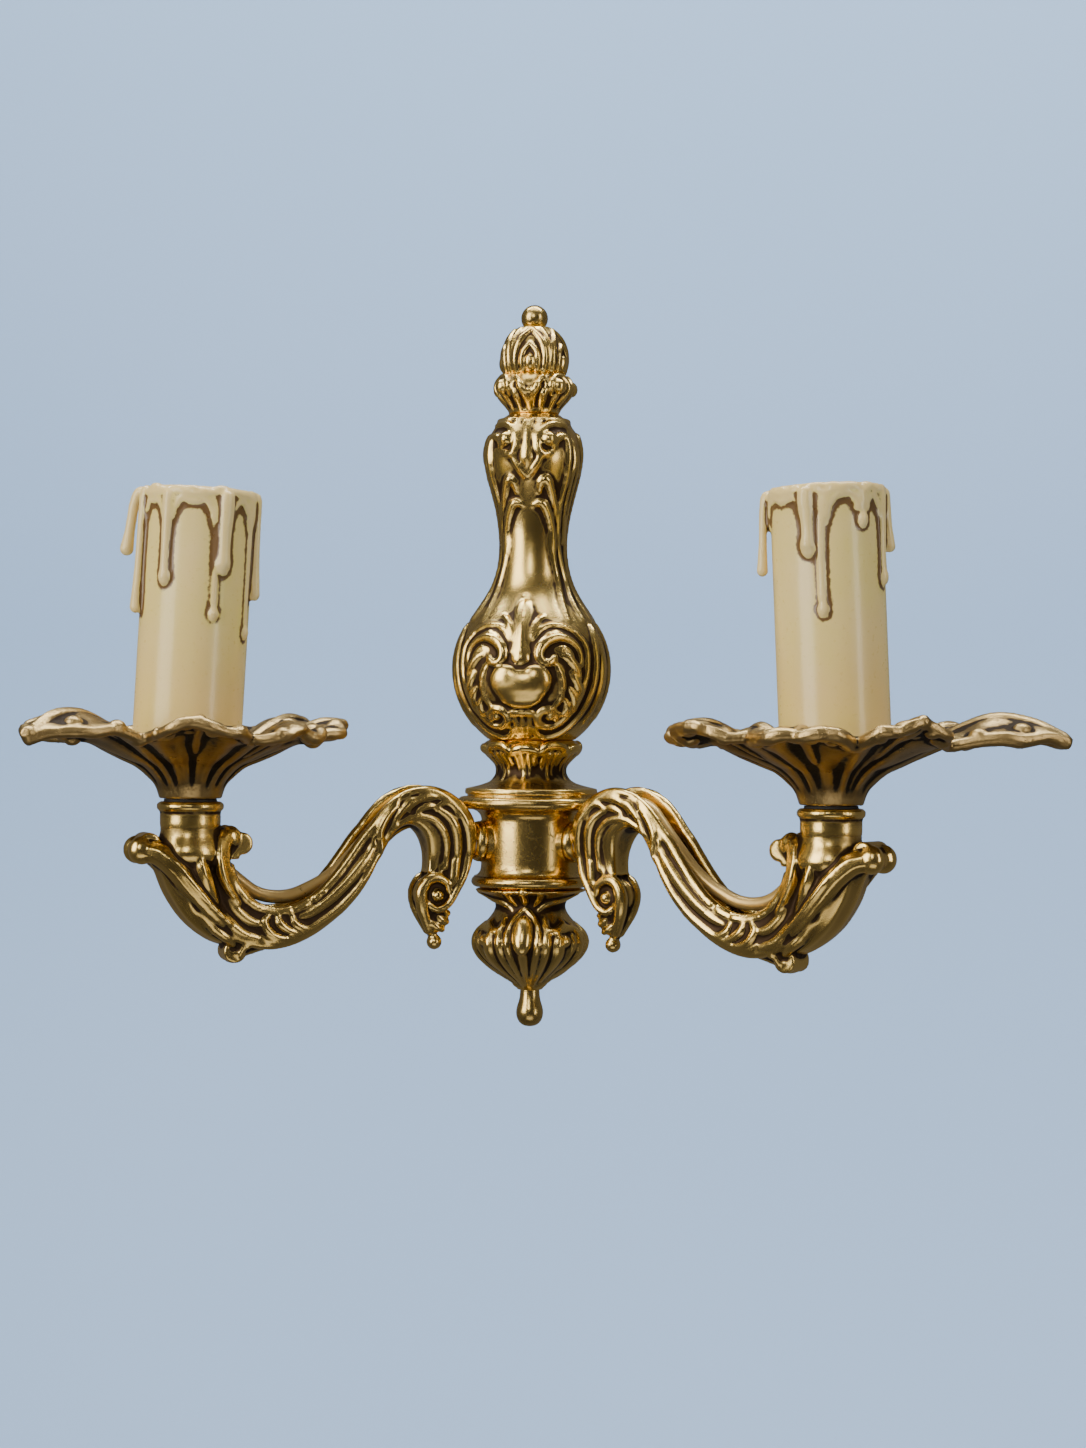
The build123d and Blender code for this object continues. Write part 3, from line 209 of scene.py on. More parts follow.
@dataclass
class Casting:
    """A casting in work: a rough form that takes raised relief and is melted into one skin.

    Attributes:
        name: the finished piece's name.
        node: the CAD node whose form is copied, or an empty word.
        place: matrix from the casting's own millimetres to the sconce's.
        voxel: fineness of the skin, in millimetres.
        polish: rounds of smoothing after melting.
    """

    name: str
    node: str
    place: Matrix
    voxel: float = 0.4
    polish: int = 4
    form: bmesh.types.BMesh = field(default_factory=bmesh.new)
    tubes: list = field(default_factory=list)

    def take_form(self) -> None:
        """Copies the CAD node's form, joined up, into the casting's own place."""
        mesh = frame["nodes"][self.node].data.copy()
        mesh.transform(self.place.inverted() @ Matrix.Scale(1000, 4))
        self.form.from_mesh(mesh)
        bpy.data.meshes.remove(mesh)
        bmesh.ops.remove_doubles(self.form, verts=self.form.verts, dist=0.004)
        if self.place.determinant() < 0:
            bmesh.ops.recalc_face_normals(self.form, faces=self.form.faces)
        self.skin = BVHTree.FromBMesh(self.form)

    def on_skin(self, x: float, z: float, lay: Lay) -> tuple[Vector, Vector]:
        """Finds where a relief point meets the form.

        Args:
            x: the point across, or its angle in degrees.
            z: its height.
            lay: how the point is meant.

        Returns:
            The place on the form and the direction out of it.
        """
        if lay is Lay.ROUND:
            out = Vector((sin(radians(x)), -cos(radians(x)), 0))
            start = out * 80 + Vector((0, 0, z))
        else:
            out = Vector((0, -1 if lay is Lay.FRONT else 1, 0))
            start = Vector((x, 0, z)) + out * 80
        hit, normal, _, _ = self.skin.ray_cast(start, -out)
        if hit is None:
            hit, normal, _, _ = self.skin.find_nearest(Vector((x, 0, z)) + out * 6)
            if lay is not Lay.ROUND:
                hit = Vector((x, hit.y, z))
        return hit, (normal + 0.6 * out).normalized()

    def raise_relief(self, relief: list) -> None:
        """Lays ridges and knobs on the form.

        Args:
            relief: the ridges and knobs.
        """
        for one in relief:
            if isinstance(one, Knob):
                at, out = self.on_skin(*one.at, one.lay)
                turn = out.to_track_quat("-Y", "Z").to_matrix().to_4x4()
                place = Matrix.Translation(at - out * one.sink) @ turn @ Matrix.Diagonal((*one.size, 1))
                bmesh.ops.create_icosphere(self.form, subdivisions=3, radius=1, matrix=place)
                continue
            spread = np.interp(np.linspace(0, 1, len(one.path)), np.linspace(0, 1, len(one.radii)), one.radii)
            rows = smooth_run([(x, z, r) for (x, z), r in zip(one.path, spread)])
            run = []
            for x, z, r in rows:
                at, out = self.on_skin(x, z, one.lay)
                run.append((*(at - out * one.sink * r), max(r, 0.12)))
            depth = np.array([row[1] for row in run])
            for _ in range(one.ease):
                depth[1:-1] = 0.25 * depth[:-2] + 0.5 * depth[1:-1] + 0.25 * depth[2:]
            self.tubes.append((1.0, [(row[0], y, *row[2:]) for row, y in zip(run, depth)]))

    def run_tube(self, points: list, broad: float = 1.0) -> None:
        """Adds a free tube or strap.

        Args:
            points: rows of x, y, z and radius, smoothed between.
            broad: how many times wider than thick it is across the casting.
        """
        rows = [(x, y / broad, z, r) for x, y, z, r in points]
        self.tubes.append((broad, [tuple(row) for row in smooth_run(rows)]))

    def ball(self, at: tuple, size: tuple) -> None:
        """Adds a free ball.

        Args:
            at: its middle.
            size: its half sizes.
        """
        place = Matrix.Translation(at) @ Matrix.Diagonal((*size, 1))
        bmesh.ops.create_icosphere(self.form, subdivisions=3, radius=1, matrix=place)

    def lay_tubes(self) -> None:
        """Turns the gathered tubes into solid form."""
        for broad in sorted({width for width, _ in self.tubes}):
            runs = [run for width, run in self.tubes if width == broad]
            wider = Matrix.Diagonal((1, broad, 1, 1))
            curve = bpy.data.curves.new("ridges", "CURVE")
            curve.dimensions, curve.bevel_depth, curve.bevel_resolution = "3D", 1.0, 2
            curve.use_fill_caps = True
            for run in runs:
                spline = curve.splines.new("POLY")
                spline.points.add(len(run) - 1)
                for point, (x, y, z, r) in zip(spline.points, run):
                    point.co, point.radius = (x, y, z, 1), r
                for x, y, z, r in (run[0], run[-1]):
                    place = wider @ Matrix.Translation((x, y, z))
                    bmesh.ops.create_icosphere(self.form, subdivisions=2, radius=r, matrix=place)
            holder = bpy.data.objects.new("ridges", curve)
            mesh = bpy.data.meshes.new_from_object(holder)
            bpy.data.objects.remove(holder)
            mesh.transform(wider)
            self.form.from_mesh(mesh)
            bpy.data.meshes.remove(mesh)

    def melt(self) -> bpy.types.Object:
        """Melts form and relief into one skin and notes its hollows and crests.

        Returns:
            The finished piece, in metres in the sconce's place.
        """
        self.lay_tubes()
        piece = finished_piece(self.name, self.form)
        melting = piece.modifiers.new("skin", "REMESH")
        melting.mode, melting.voxel_size, melting.use_smooth_shade = "VOXEL", self.voxel, True
        settle(piece)
        polish(piece.data, self.polish)
        note_relief(piece.data, self.voxel)
        piece.data.transform(Matrix.Scale(MM, 4) @ self.place)
        if self.place.determinant() < 0:
            piece.data.flip_normals()
        keep_in_box(piece.data)
        return piece


def keep_in_box(mesh: bpy.types.Mesh) -> None:
    """Draws stray points of a skin back to the model's box, which is flat at the wall.

    Args:
        mesh: the skin, in its place.
    """
    at, _, _ = mesh_arrays(mesh)
    mesh.vertices.foreach_set("co", np.clip(at, CAD_BOX[0], CAD_BOX[1]).ravel())
    mesh.update()


def finished_piece(name: str, form: bmesh.types.BMesh) -> bpy.types.Object:
    """Makes an object of a bmesh and links it into the scene.

    Args:
        name: the piece's name.
        form: its shape, which is freed.

    Returns:
        The new object.
    """
    mesh = bpy.data.meshes.new(name)
    form.to_mesh(mesh)
    form.free()
    piece = bpy.data.objects.new(name, mesh)
    bpy.context.scene.collection.objects.link(piece)
    return piece


def settle(piece: bpy.types.Object) -> None:
    """Applies a piece's modifiers to its mesh.

    Args:
        piece: the piece.
    """
    graph = bpy.context.evaluated_depsgraph_get()
    graph.update()
    mesh = bpy.data.meshes.new_from_object(piece.evaluated_get(graph))
    old = piece.data
    piece.modifiers.clear()
    piece.data = mesh
    mesh.name = piece.name
    bpy.data.meshes.remove(old)
    mesh.polygons.foreach_set("use_smooth", [True] * len(mesh.polygons))


def neighbour_mean(at: np.ndarray, ends: np.ndarray, count: np.ndarray) -> np.ndarray:
    """The mean of each vertex's neighbours.

    Args:
        at: rows of values, one per vertex.
        ends: the two vertices of each edge.
        count: how many edges each vertex has.

    Returns:
        The means, row by row.
    """
    total = np.empty_like(at)
    for axis in range(at.shape[1]):
        total[:, axis] = np.bincount(ends[:, 0], at[ends[:, 1], axis], len(at))
        total[:, axis] += np.bincount(ends[:, 1], at[ends[:, 0], axis], len(at))
    return total / count[:, None]


def mesh_arrays(mesh: bpy.types.Mesh) -> tuple[np.ndarray, np.ndarray, np.ndarray]:
    """Reads a mesh's points and edges.

    Args:
        mesh: the mesh.

    Returns:
        The points, each edge's ends and each point's number of edges.
    """
    at = np.empty(3 * len(mesh.vertices))
    mesh.vertices.foreach_get("co", at)
    ends = np.empty(2 * len(mesh.edges), int)
    mesh.edges.foreach_get("vertices", ends)
    ends = ends.reshape(-1, 2)
    count = np.maximum(np.bincount(ends.ravel(), minlength=len(mesh.vertices)), 1)
    return at.reshape(-1, 3), ends, count


def polish(mesh: bpy.types.Mesh, rounds: int) -> None:
    """Smooths a skin without shrinking it much.

    Args:
        mesh: the skin.
        rounds: how often.
    """
    at, ends, count = mesh_arrays(mesh)
    for _ in range(rounds):
        at = at + 0.55 * (neighbour_mean(at, ends, count) - at)
        at = at - 0.42 * (neighbour_mean(at, ends, count) - at)
    mesh.vertices.foreach_set("co", at.ravel())
    mesh.update()


def note_relief(mesh: bpy.types.Mesh, voxel: float) -> None:
    """Writes how hollow each point lies, from 0 on a crest to 1 in a groove, as the attribute "relief".

    Args:
        mesh: the skin.
        voxel: its fineness; not used.
    """
    at, ends, count = mesh_arrays(mesh)
    normals = np.empty(3 * len(mesh.vertices))
    mesh.vertex_normals.foreach_get("vector", normals)
    normals = normals.reshape(-1, 3)
    depth = np.zeros(len(at))
    eased = at.copy()
    for rounds, share in ((3, 1.1), (9, 0.8), (20, 0.4)):
        for _ in range(rounds):
            eased = neighbour_mean(eased, ends, count)
        depth += share * np.einsum("ij,ij->i", eased - at, normals)
    depth = depth[:, None]
    for _ in range(2):
        depth = 0.5 * depth + 0.5 * neighbour_mean(depth, ends, count)
    value = np.clip(0.5 + 2.2 * depth[:, 0], 0, 1)
    mesh.attributes.new("relief", "FLOAT", "POINT").data.foreach_set("value", value)


# ---------------------------------------------------------------- finishes


class Bench:
    """Sets out the nodes of one material."""

    def __init__(self, name: str) -> None:
        """Starts a material.

        Args:
            name: its name.
        """
        self.material = bpy.data.materials.new(name)
        self.material.use_nodes = True
        self.tree = self.material.node_tree
        self.shader = self.tree.nodes["Principled BSDF"]
        self.where = self.node("ShaderNodeTexCoord").outputs["Object"]

    def node(self, kind: str, links: dict | None = None, **values: object) -> bpy.types.Node:
        """Adds a node.

        Args:
            kind: its type.
            links: input name or number to the output it reads.
            values: node properties, or input values where the node has no such property.

        Returns:
            The node.
        """
        node = self.tree.nodes.new(kind)
        for key, value in values.items():
            if hasattr(node, key):
                setattr(node, key, value)
            else:
                node.inputs[key.replace("_", " ")].default_value = value
        for key, output in (links or {}).items():
            self.tree.links.new(output, node.inputs[key])
        return node

    def grain(self, scale: float, detail: float = 4.0, rough: float = 0.55) -> bpy.types.NodeSocket:
        """A cloudy noise of about 1/scale metres."""
        noise_node = self.node("ShaderNodeTexNoise", {"Vector": self.where}, Scale=scale, Detail=detail, Roughness=rough)
        return noise_node.outputs["Fac"]

    def spots(self, scale: float) -> bpy.types.NodeSocket:
        """Distance to scattered points about 1/scale metres apart."""
        return self.node("ShaderNodeTexVoronoi", {"Vector": self.where}, Scale=scale).outputs["Distance"]

    def ramp(self, source: bpy.types.NodeSocket, low: float, high: float, start: float = 0.0, end: float = 1.0) -> bpy.types.NodeSocket:
        """Maps a value from low..high to start..end, held at the ends."""
        node = self.node("ShaderNodeMapRange", {"Value": source})
        for key, value in (("From Min", low), ("From Max", high), ("To Min", start), ("To Max", end)):
            node.inputs[key].default_value = value
        return node.outputs["Result"]

    def sums(self, kind: str, a: bpy.types.NodeSocket, b: bpy.types.NodeSocket | float) -> bpy.types.NodeSocket:
        """A clamped sum, product or other of two values."""
        node = self.node("ShaderNodeMath", {0: a}, operation=kind, use_clamp=True)
        if isinstance(b, float):
            node.inputs[1].default_value = b
        else:
            self.tree.links.new(b, node.inputs[1])
        return node.outputs[0]

    def blend(self, share: bpy.types.NodeSocket, a: object, b: object, kind: str = "MIX") -> bpy.types.NodeSocket:
        """Mixes two colours, given as colours or outputs, by a share."""
        node = self.node("ShaderNodeMix", {0: share}, data_type="RGBA", blend_type=kind)
        for key, value in ((6, a), (7, b)):
            if isinstance(value, tuple):
                node.inputs[key].default_value = (*value, 1)
            else:
                self.tree.links.new(value, node.inputs[key])
        return node.outputs[2]

    def bump(self, height: bpy.types.NodeSocket, depth: float, before: bpy.types.NodeSocket | None = None) -> bpy.types.NodeSocket:
        """Bumps the surface by a height map of the given depth in metres."""
        links = {"Height": height}
        if before is not None:
            links["Normal"] = before
        return self.node("ShaderNodeBump", links, Strength=1.0, Distance=depth).outputs["Normal"]

    def wear(self, **links: object) -> bpy.types.Material:
        """Connects or sets the shader's inputs and gives the material.

        Args:
            links: input name with underscores for spaces, to an output or a constant.

        Returns:
            The material.
        """
        for key, value in links.items():
            socket = self.shader.inputs[key.replace("_", " ")]
            if isinstance(value, bpy.types.NodeSocket):
                self.tree.links.new(value, socket)
            else:
                socket.default_value = value
        return self.material


@dataclass(frozen=True)
class AgedBrass:
    """Polished cast brass with brown patina in its hollows.

    Attributes:
        name: the material's name.
        bright: colour of the crests, rubbed brass with a painted highlight, and the lighter tone of the clouds.
        body: colour of the flats.
        patina: colour of the hollows.
        chased: whether the piece carries the "relief" attribute.
        age: how far the patina spreads, 0 to 1.
        pits: depth of casting pits in metres.
        dull: how much rougher than polished brass.
    """

    name: str
    bright: tuple = (0.92, 0.66, 0.215)
    body: tuple = (0.50, 0.345, 0.115)
    patina: tuple = (0.045, 0.022, 0.007)
    chased: bool = True
    age: float = 0.35
    pits: float = 0.000014
    dull: float = 0.0

    def make(self) -> bpy.types.Material:
        """Builds the material's nodes."""
        bench = Bench(self.name)
        clouds = bench.grain(85, 5)
        fine = bench.grain(620, 6, 0.62)
        tone = bench.blend(bench.ramp(clouds, 0.3, 0.7, 0.2, 0.75), self.bright, self.body)
        mottled = bench.sums("MULTIPLY", bench.ramp(fine, 0.5, 0.8), bench.ramp(clouds, 0.3, 0.7))
        stain = bench.ramp(mottled, 0.2, 1.0, 0, 0.1 + 0.7 * self.age)
        if self.chased:
            relief = bench.node("ShaderNodeAttribute", attribute_name="relief").outputs["Fac"]
            hollow = bench.ramp(bench.sums("ADD", relief, bench.ramp(fine, 0.3, 0.7, -0.08, 0.08)), 0.545, 0.86 - 0.15 * self.age)
            # Crests take the bright colour and lose their stain: partly rubbed brass, partly a painted highlight on the
            # ridges.
            crest = bench.ramp(relief, 0.47, 0.25)
            tone = bench.blend(crest, tone, self.bright)
            stain = bench.sums("MAXIMUM", bench.sums("SUBTRACT", stain, crest), hollow)
        else:
            cracks = bench.ramp(bench.node("ShaderNodeTexVoronoi", {"Vector": bench.where}, feature="DISTANCE_TO_EDGE", Scale=260.0).outputs["Distance"], 0.05, 0.0)
            stain = bench.sums("MAXIMUM", stain, bench.sums("MULTIPLY", cracks, bench.ramp(fine, 0.5, 0.62, 0, 0.8)))
        colour = bench.blend(stain, tone, self.patina)
        rough = bench.sums("ADD", bench.ramp(clouds, 0.3, 0.7, 0.19 + self.dull, 0.29 + 1.4 * self.dull), bench.ramp(stain, 0, 1, 0, 0.25))
        pits = bench.ramp(bench.spots(1500), 0.0, 0.32)
        soft = bench.bump(bench.grain(45, 2), 0.00025)
        normal = bench.bump(bench.sums("MULTIPLY", pits, bench.ramp(fine, 0.35, 0.6, 0.4, 1)), self.pits, soft)
        return bench.wear(Base_Color=colour, Metallic=bench.ramp(stain, 0.3, 1, 1, 0.7), Roughness=rough, Normal=normal)


@dataclass(frozen=True)
class CandleResin:
    """Cream resin of a candle sleeve, with brown antiquing beside its drips."""

    name: str = "cream_resin"
    cream: tuple = (0.88, 0.69, 0.175)
    peach: tuple = (0.93, 0.68, 0.26)
    brown: tuple = (0.13, 0.055, 0.016)

    def make(self) -> bpy.types.Material:
        """Builds the material's nodes."""
        bench = Bench(self.name)
        relief = bench.node("ShaderNodeAttribute", attribute_name="relief").outputs["Fac"]
        clouds = bench.grain(60, 3)
        fine = bench.grain(900, 4)
        tone = bench.blend(bench.ramp(clouds, 0.3, 0.7), self.cream, self.peach)
        crest = bench.blend(bench.ramp(relief, 0.45, 0.25), tone, self.peach)
        line = bench.ramp(bench.sums("ADD", relief, bench.ramp(fine, 0.3, 0.7, -0.1, 0.1)), 0.6, 0.74, 0, 0.95)
        colour = bench.blend(line, crest, self.brown)
        normal = bench.bump(bench.grain(260, 3), 0.0001)
        return bench.wear(
            Base_Color=colour, Roughness=bench.ramp(fine, 0.3, 0.7, 0.26, 0.36), Normal=normal,
            Coat_Weight=0.4, Coat_Roughness=0.15,
        )


@dataclass(frozen=True)
class SoftFinish:
    """A plain finish with mild colour clouds and a fine surface, for inner parts and covers.

    Attributes:
        name: the material's name.
        light: its lighter colour.
        dark: its darker colour.
        metallic: 1 for bare metal.
        rough: mean roughness.
        scale: grain of the clouds, per metre.
        bump: depth of the fine surface in metres.
    """

    name: str
    light: tuple
    dark: tuple
    metallic: float = 0.0
    rough: float = 0.45
    scale: float = 300.0
    bump: float = 0.00002

    def make(self) -> bpy.types.Material:
        """Builds the material's nodes."""
        bench = Bench(self.name)
        clouds = bench.grain(self.scale, 4)
        fine = bench.grain(9 * self.scale, 3)
        colour = bench.blend(bench.ramp(clouds, 0.3, 0.7), self.light, self.dark)
        rough = bench.ramp(fine, 0.3, 0.7, self.rough - 0.07, self.rough + 0.07)
        return bench.wear(Base_Color=colour, Roughness=rough, Metallic=self.metallic, Normal=bench.bump(fine, self.bump))


CAST_BRASS = AgedBrass("aged_brass_cast")
TURNED_BRASS = AgedBrass("aged_brass_turned", chased=False, age=0.3)
PAN_BRASS = AgedBrass(
    "pan_brass", bright=(0.55, 0.39, 0.165), body=(0.18, 0.115, 0.047), patina=(0.025, 0.015, 0.007), age=1.0, pits=0.00008, dull=0.08
)
PLAIN_FINISHES = {
    "brass_parts": SoftFinish("brass_parts_satin", (0.85, 0.62, 0.26), (0.62, 0.42, 0.15), 1.0, 0.34),
    "steel": SoftFinish("zinc_steel", (0.62, 0.62, 0.60), (0.48, 0.48, 0.47), 1.0, 0.4),
    "white_plastic": SoftFinish("white_plastic_satin", (0.80, 0.79, 0.75), (0.73, 0.72, 0.68), 0.0, 0.42, 120),
    "ceramic": SoftFinish("glazed_ceramic", (0.84, 0.83, 0.79), (0.76, 0.74, 0.70), 0.0, 0.22, 160),
    "black_washer": SoftFinish("black_fibre", (0.030, 0.028, 0.026), (0.012, 0.012, 0.012), 0.0, 0.7),
    "gold_flex": SoftFinish("gold_flex_cover", (0.70, 0.48, 0.17), (0.55, 0.36, 0.12), 0.6, 0.34, 90, 0.00001),
}


# ---------------------------------------------------------------- the body


@dataclass
class Baluster:
    """The tall front casting with its cartouche, rails and leaves."""

    name: str = "baluster"

    def cartouche(self) -> list:
        """The shield on the belly and the scrolls round it."""
        half = [
            Ridge(((5.1, 59.6), (3.9, 58.2), (2.7, 55.2), (2.1, 52.2)), (0.5, 0.95, 0.9, 0.5), 0.2),
            Ridge(((13.2, 55.6), (10.1, 57.0), (6.4, 57.0), (3.9, 54.8), (3.1, 51.6)), (0.6, 0.8, 0.9, 0.85, 0.5), 0.25),
            Ridge(((11.9, 54.1), (8.9, 55.4), (5.8, 54.5), (4.2, 52.2)), (0.4, 0.6, 0.6, 0.4), 0.2),
            Ridge(((16.9, 56.2), (18.1, 51.0), (18.4, 46.1), (17.5, 40.5), (15.0, 35.0), (10.7, 30.1), (6.4, 27.9), (3.5, 28.4), (2.8, 30.6)),
                  (1.0, 1.05, 1.0, 0.95, 0.7), 0.2),
            Ridge(((13.4, 55.4), (15.9, 52.0), (16.5, 47.3), (15.9, 42.4), (14.1, 37.5), (11.0, 33.2), (7.9, 30.9), (5.2, 30.9), (3.9, 32.6), (5.0, 34.6),
                   (7.2, 35.2), (8.8, 34.0), (8.2, 32.6)), (0.7, 0.9, 0.95, 1.0, 1.1, 1.2, 1.0, 0.7), 0.15),
            Ridge(((15.2, 46.4), (14.6, 50.4), (12.4, 53.0), (9.4, 53.9), (6.4, 52.8), (4.8, 50.4), (5.2, 48.1), (7.2, 47.2), (8.5, 48.4)),
                  (0.5, 0.8, 1.1, 1.45, 1.55, 1.3, 1.1, 0.8), 0.1),
            Ridge(((13.6, 46.6), (12.8, 49.6), (10.8, 51.2), (8.8, 50.6)), (0.3, 0.6, 0.7, 0.4), 0.2),
            Ridge(((10.1, 49.7), (12.3, 48.3), (14.2, 45.2), (14.9, 42.0)), (0.5, 1.2, 1.1, 0.4), 0.15),
            Ridge(((12.6, 45.1), (13.9, 42.4), (14.5, 39.3), (14.0, 36.6)), (0.5, 1.2, 1.1, 0.4), 0.15),
            Ridge(((12.4, 40.8), (13.3, 38.2), (12.9, 35.4), (11.6, 33.6)), (0.5, 1.2, 1.1, 0.4), 0.15),
            Ridge(((11.2, 37.8), (11.4, 35.6), (9.6, 33.2)), (0.5, 1.15, 0.5), 0.15),
            Ridge(((9.0, 47.0), (10.3, 44.2), (10.7, 41.2), (9.8, 37.5), (7.9, 35.7)), (0.5, 0.65, 0.6), 0.2),
            Ridge(((0.0, 34.5), (2.3, 34.4), (3.5, 33.7)), (1.25, 1.1, 0.7), 0.1),
            Ridge(((1.9, 33.2), (1.6, 30.4), (1.2, 27.9)), (0.8, 0.75, 0.4), 0.2),
            Knob((3.7, 42.6), (4.5, 2.3, 4.4), 0.1),
            Knob((7.1, 33.3), (1.1, 1.0, 1.1), -0.3),
        ]
        middle = [
            Ridge(((0, 64.8), (0, 63.4), (0, 61.0), (0, 57.4), (0, 53.2), (0, 50.0), (0, 48.4)), (1.1, 2.2, 2.9, 3.2, 3.2, 3.8, 3.4), 0.62),
            Ridge(((0, 33.6), (0, 30.4), (0, 27.8)), (0.9, 0.8, 0.4), 0.2),
            Knob((0, 41.4), (7.7, 2.5, 4.7), 0.2),
            Knob((0, 39.4), (6.3, 2.4, 4.2), 0.2),
        ]
        raised = [one.bolder(1.05, 0.12) if isinstance(one, Ridge) else one for one in half]
        return both_sides(raised) + middle

    def waist(self) -> list:
        """The leaves and rails over the cartouche, up to the shoulder."""
        half = [
            Ridge(((5.2, 82.0), (5.6, 78.0), (6.9, 72.7), (8.8, 64.9), (11.6, 58.0)), (0.4, 0.75, 0.8, 0.85, 0.5), 0.2),
            Ridge(((7.1, 83.0), (7.5, 78.0), (8.4, 72.7), (10.9, 64.9), (14.8, 58.6)), (0.5, 0.8, 0.95, 1.0, 0.8), 0.25),
            Knob((5.6, 106.5), (2.1, 2.0, 2.1), -0.2),
            Ridge(((9.2, 110.6), (5.8, 110.6), (3.2, 108.1), (2.9, 104.8), (4.0, 102.5), (6.0, 102.9)), (0.8, 1.2, 1.35, 1.3, 1.1, 0.7), 0.05),
            Ridge(((6.9, 104.6), (7.8, 106.9), (9.6, 107.0), (10.5, 102.6), (9.8, 96.8), (8.1, 90.3), (7.4, 83.8), (7.5, 79.0)),
                  (0.9, 1.3, 1.2, 1.05, 0.95, 0.85, 0.6), 0.05),
            Ridge(((11.3, 106.6), (11.9, 101.4), (10.5, 95.4), (8.9, 88.2), (8.2, 79.5)), (0.6, 0.95, 0.9, 0.8, 0.5), 0.2),
            Ridge(((3.1, 92.8), (3.7, 95.4), (5.0, 95.7), (6.0, 92.6), (6.8, 88.0), (6.9, 84.4)), (0.6, 1.1, 1.45, 1.3, 0.9, 0.4), 0.1),
            Ridge(((1.6, 89.3), (3.6, 89.7), (5.1, 86.8), (6.1, 81.2), (6.4, 76.2), (7.2, 71.4)), (0.6, 1.35, 1.3, 1.0, 0.8, 0.4), 0.1),
            Ridge(((4.9, 92.2), (5.4, 89.4), (6.3, 85.6)), (0.35, 0.6, 0.3), 0.2),
            Ridge(((0.1, 96.3), (1.9, 98.9), (3.4, 101.6), (2.5, 104.2), (2.0, 107.6), (2.8, 111.2)), (0.5, 0.9, 0.9, 0.85, 0.95, 0.9), 0.05),
        ]
        middle = [
            Ridge(((0, 98.2), (0, 101.2), (0, 106.0), (0, 111.0)), (0.8, 2.2, 1.7, 2.0), 0.5),
            Ridge(tuple((a, 112.0) for a in range(-117, 118, 13)), (0.95,), 0.15, Lay.ROUND),
        ]
        return both_sides(half) + middle

    def flanks(self) -> list:
        """Plain reeds and leaves on the two sides."""
        out = [
            Ridge(((68, 57.2), (70, 54.0), (72, 47.0), (70, 38.0), (66, 31.5)), (1.1, 1.5, 1.7, 1.4, 0.8), 0.35, Lay.ROUND),
            Ridge(((86, 57.8), (87, 50.0), (86, 40.0), (82, 31.0)), (0.8, 1.2, 1.1, 0.6), 0.35, Lay.ROUND),
            Ridge(((104, 57.0), (104, 46.0), (102, 33.0)), (0.7, 1.1, 0.6), 0.35, Lay.ROUND),
            Ridge(((76, 59.0), (80, 66.0), (82, 76.0), (80, 86.0), (78, 96.0), (74, 104.0)), (0.5, 0.9, 0.8, 0.8, 0.9, 0.5), 0.3, Lay.ROUND),
            Ridge(((98, 59.0), (100, 68.0), (102, 80.0), (100, 92.0), (96, 102.0)), (0.5, 1.2, 1.0, 1.2, 0.6), 0.35, Lay.ROUND),
            Ridge(((90, 98.0), (86, 103.0), (88, 107.5), (96, 107.8), (98, 104.4)), (0.5, 0.9, 1.1, 0.9, 0.5), 0.15, Lay.ROUND),
            Ridge(((79, 36.0), (78, 44.0), (79, 53.0)), (0.4, 0.7, 0.4), 0.2, Lay.ROUND),
        ]
        return both_sides(out)

    def build(self) -> bpy.types.Object:
        """Casts the baluster.

        Returns:
            The finished piece.
        """
        work = Casting(self.name, "baluster_casting", BODY_PLACE, 0.465)
        work.take_form()
        work.raise_relief(self.cartouche() + self.waist() + self.flanks())
        piece = work.melt()
        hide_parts("baluster_casting")
        return piece


@dataclass
class Neck:
    """The waisted casting under the baluster, with a leaf lip over short flutes."""

    leaves: int = 7

    def build(self) -> bpy.types.Object:
        """Casts the neck.

        Returns:
            The finished piece.
        """
        work = Casting("neck", "neck_casting", BODY_PLACE, 0.36)
        work.take_form()
        relief = []
        step = 260 / self.leaves
        for i in range(self.leaves):
            a = -130 + step * (i + 0.5)
            lift = 0.4 * (-1) ** i
            relief.append(Ridge(((a - 0.54 * step, 23.4), (a - 0.3 * step, 24.9 + lift), (a, 25.3 + lift), (a + 0.3 * step, 24.9 + lift), (a + 0.54 * step, 23.4)),
                                (0.9, 1.25, 1.4, 1.25, 0.9), 0.1, Lay.ROUND))
            for turn, low in ((-12, 18.4), (-3.5, 16.4), (5.5, 17.6), (13.5, 19.6)):
                relief.append(Ridge(((a + turn, 23.6), (a + turn, 21.0), (a + 0.9 * turn, low)), (1.0, 1.05, 0.3), 0.3, Lay.ROUND))
        work.raise_relief(relief)
        piece = work.melt()
        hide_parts("neck_casting")
        return piece


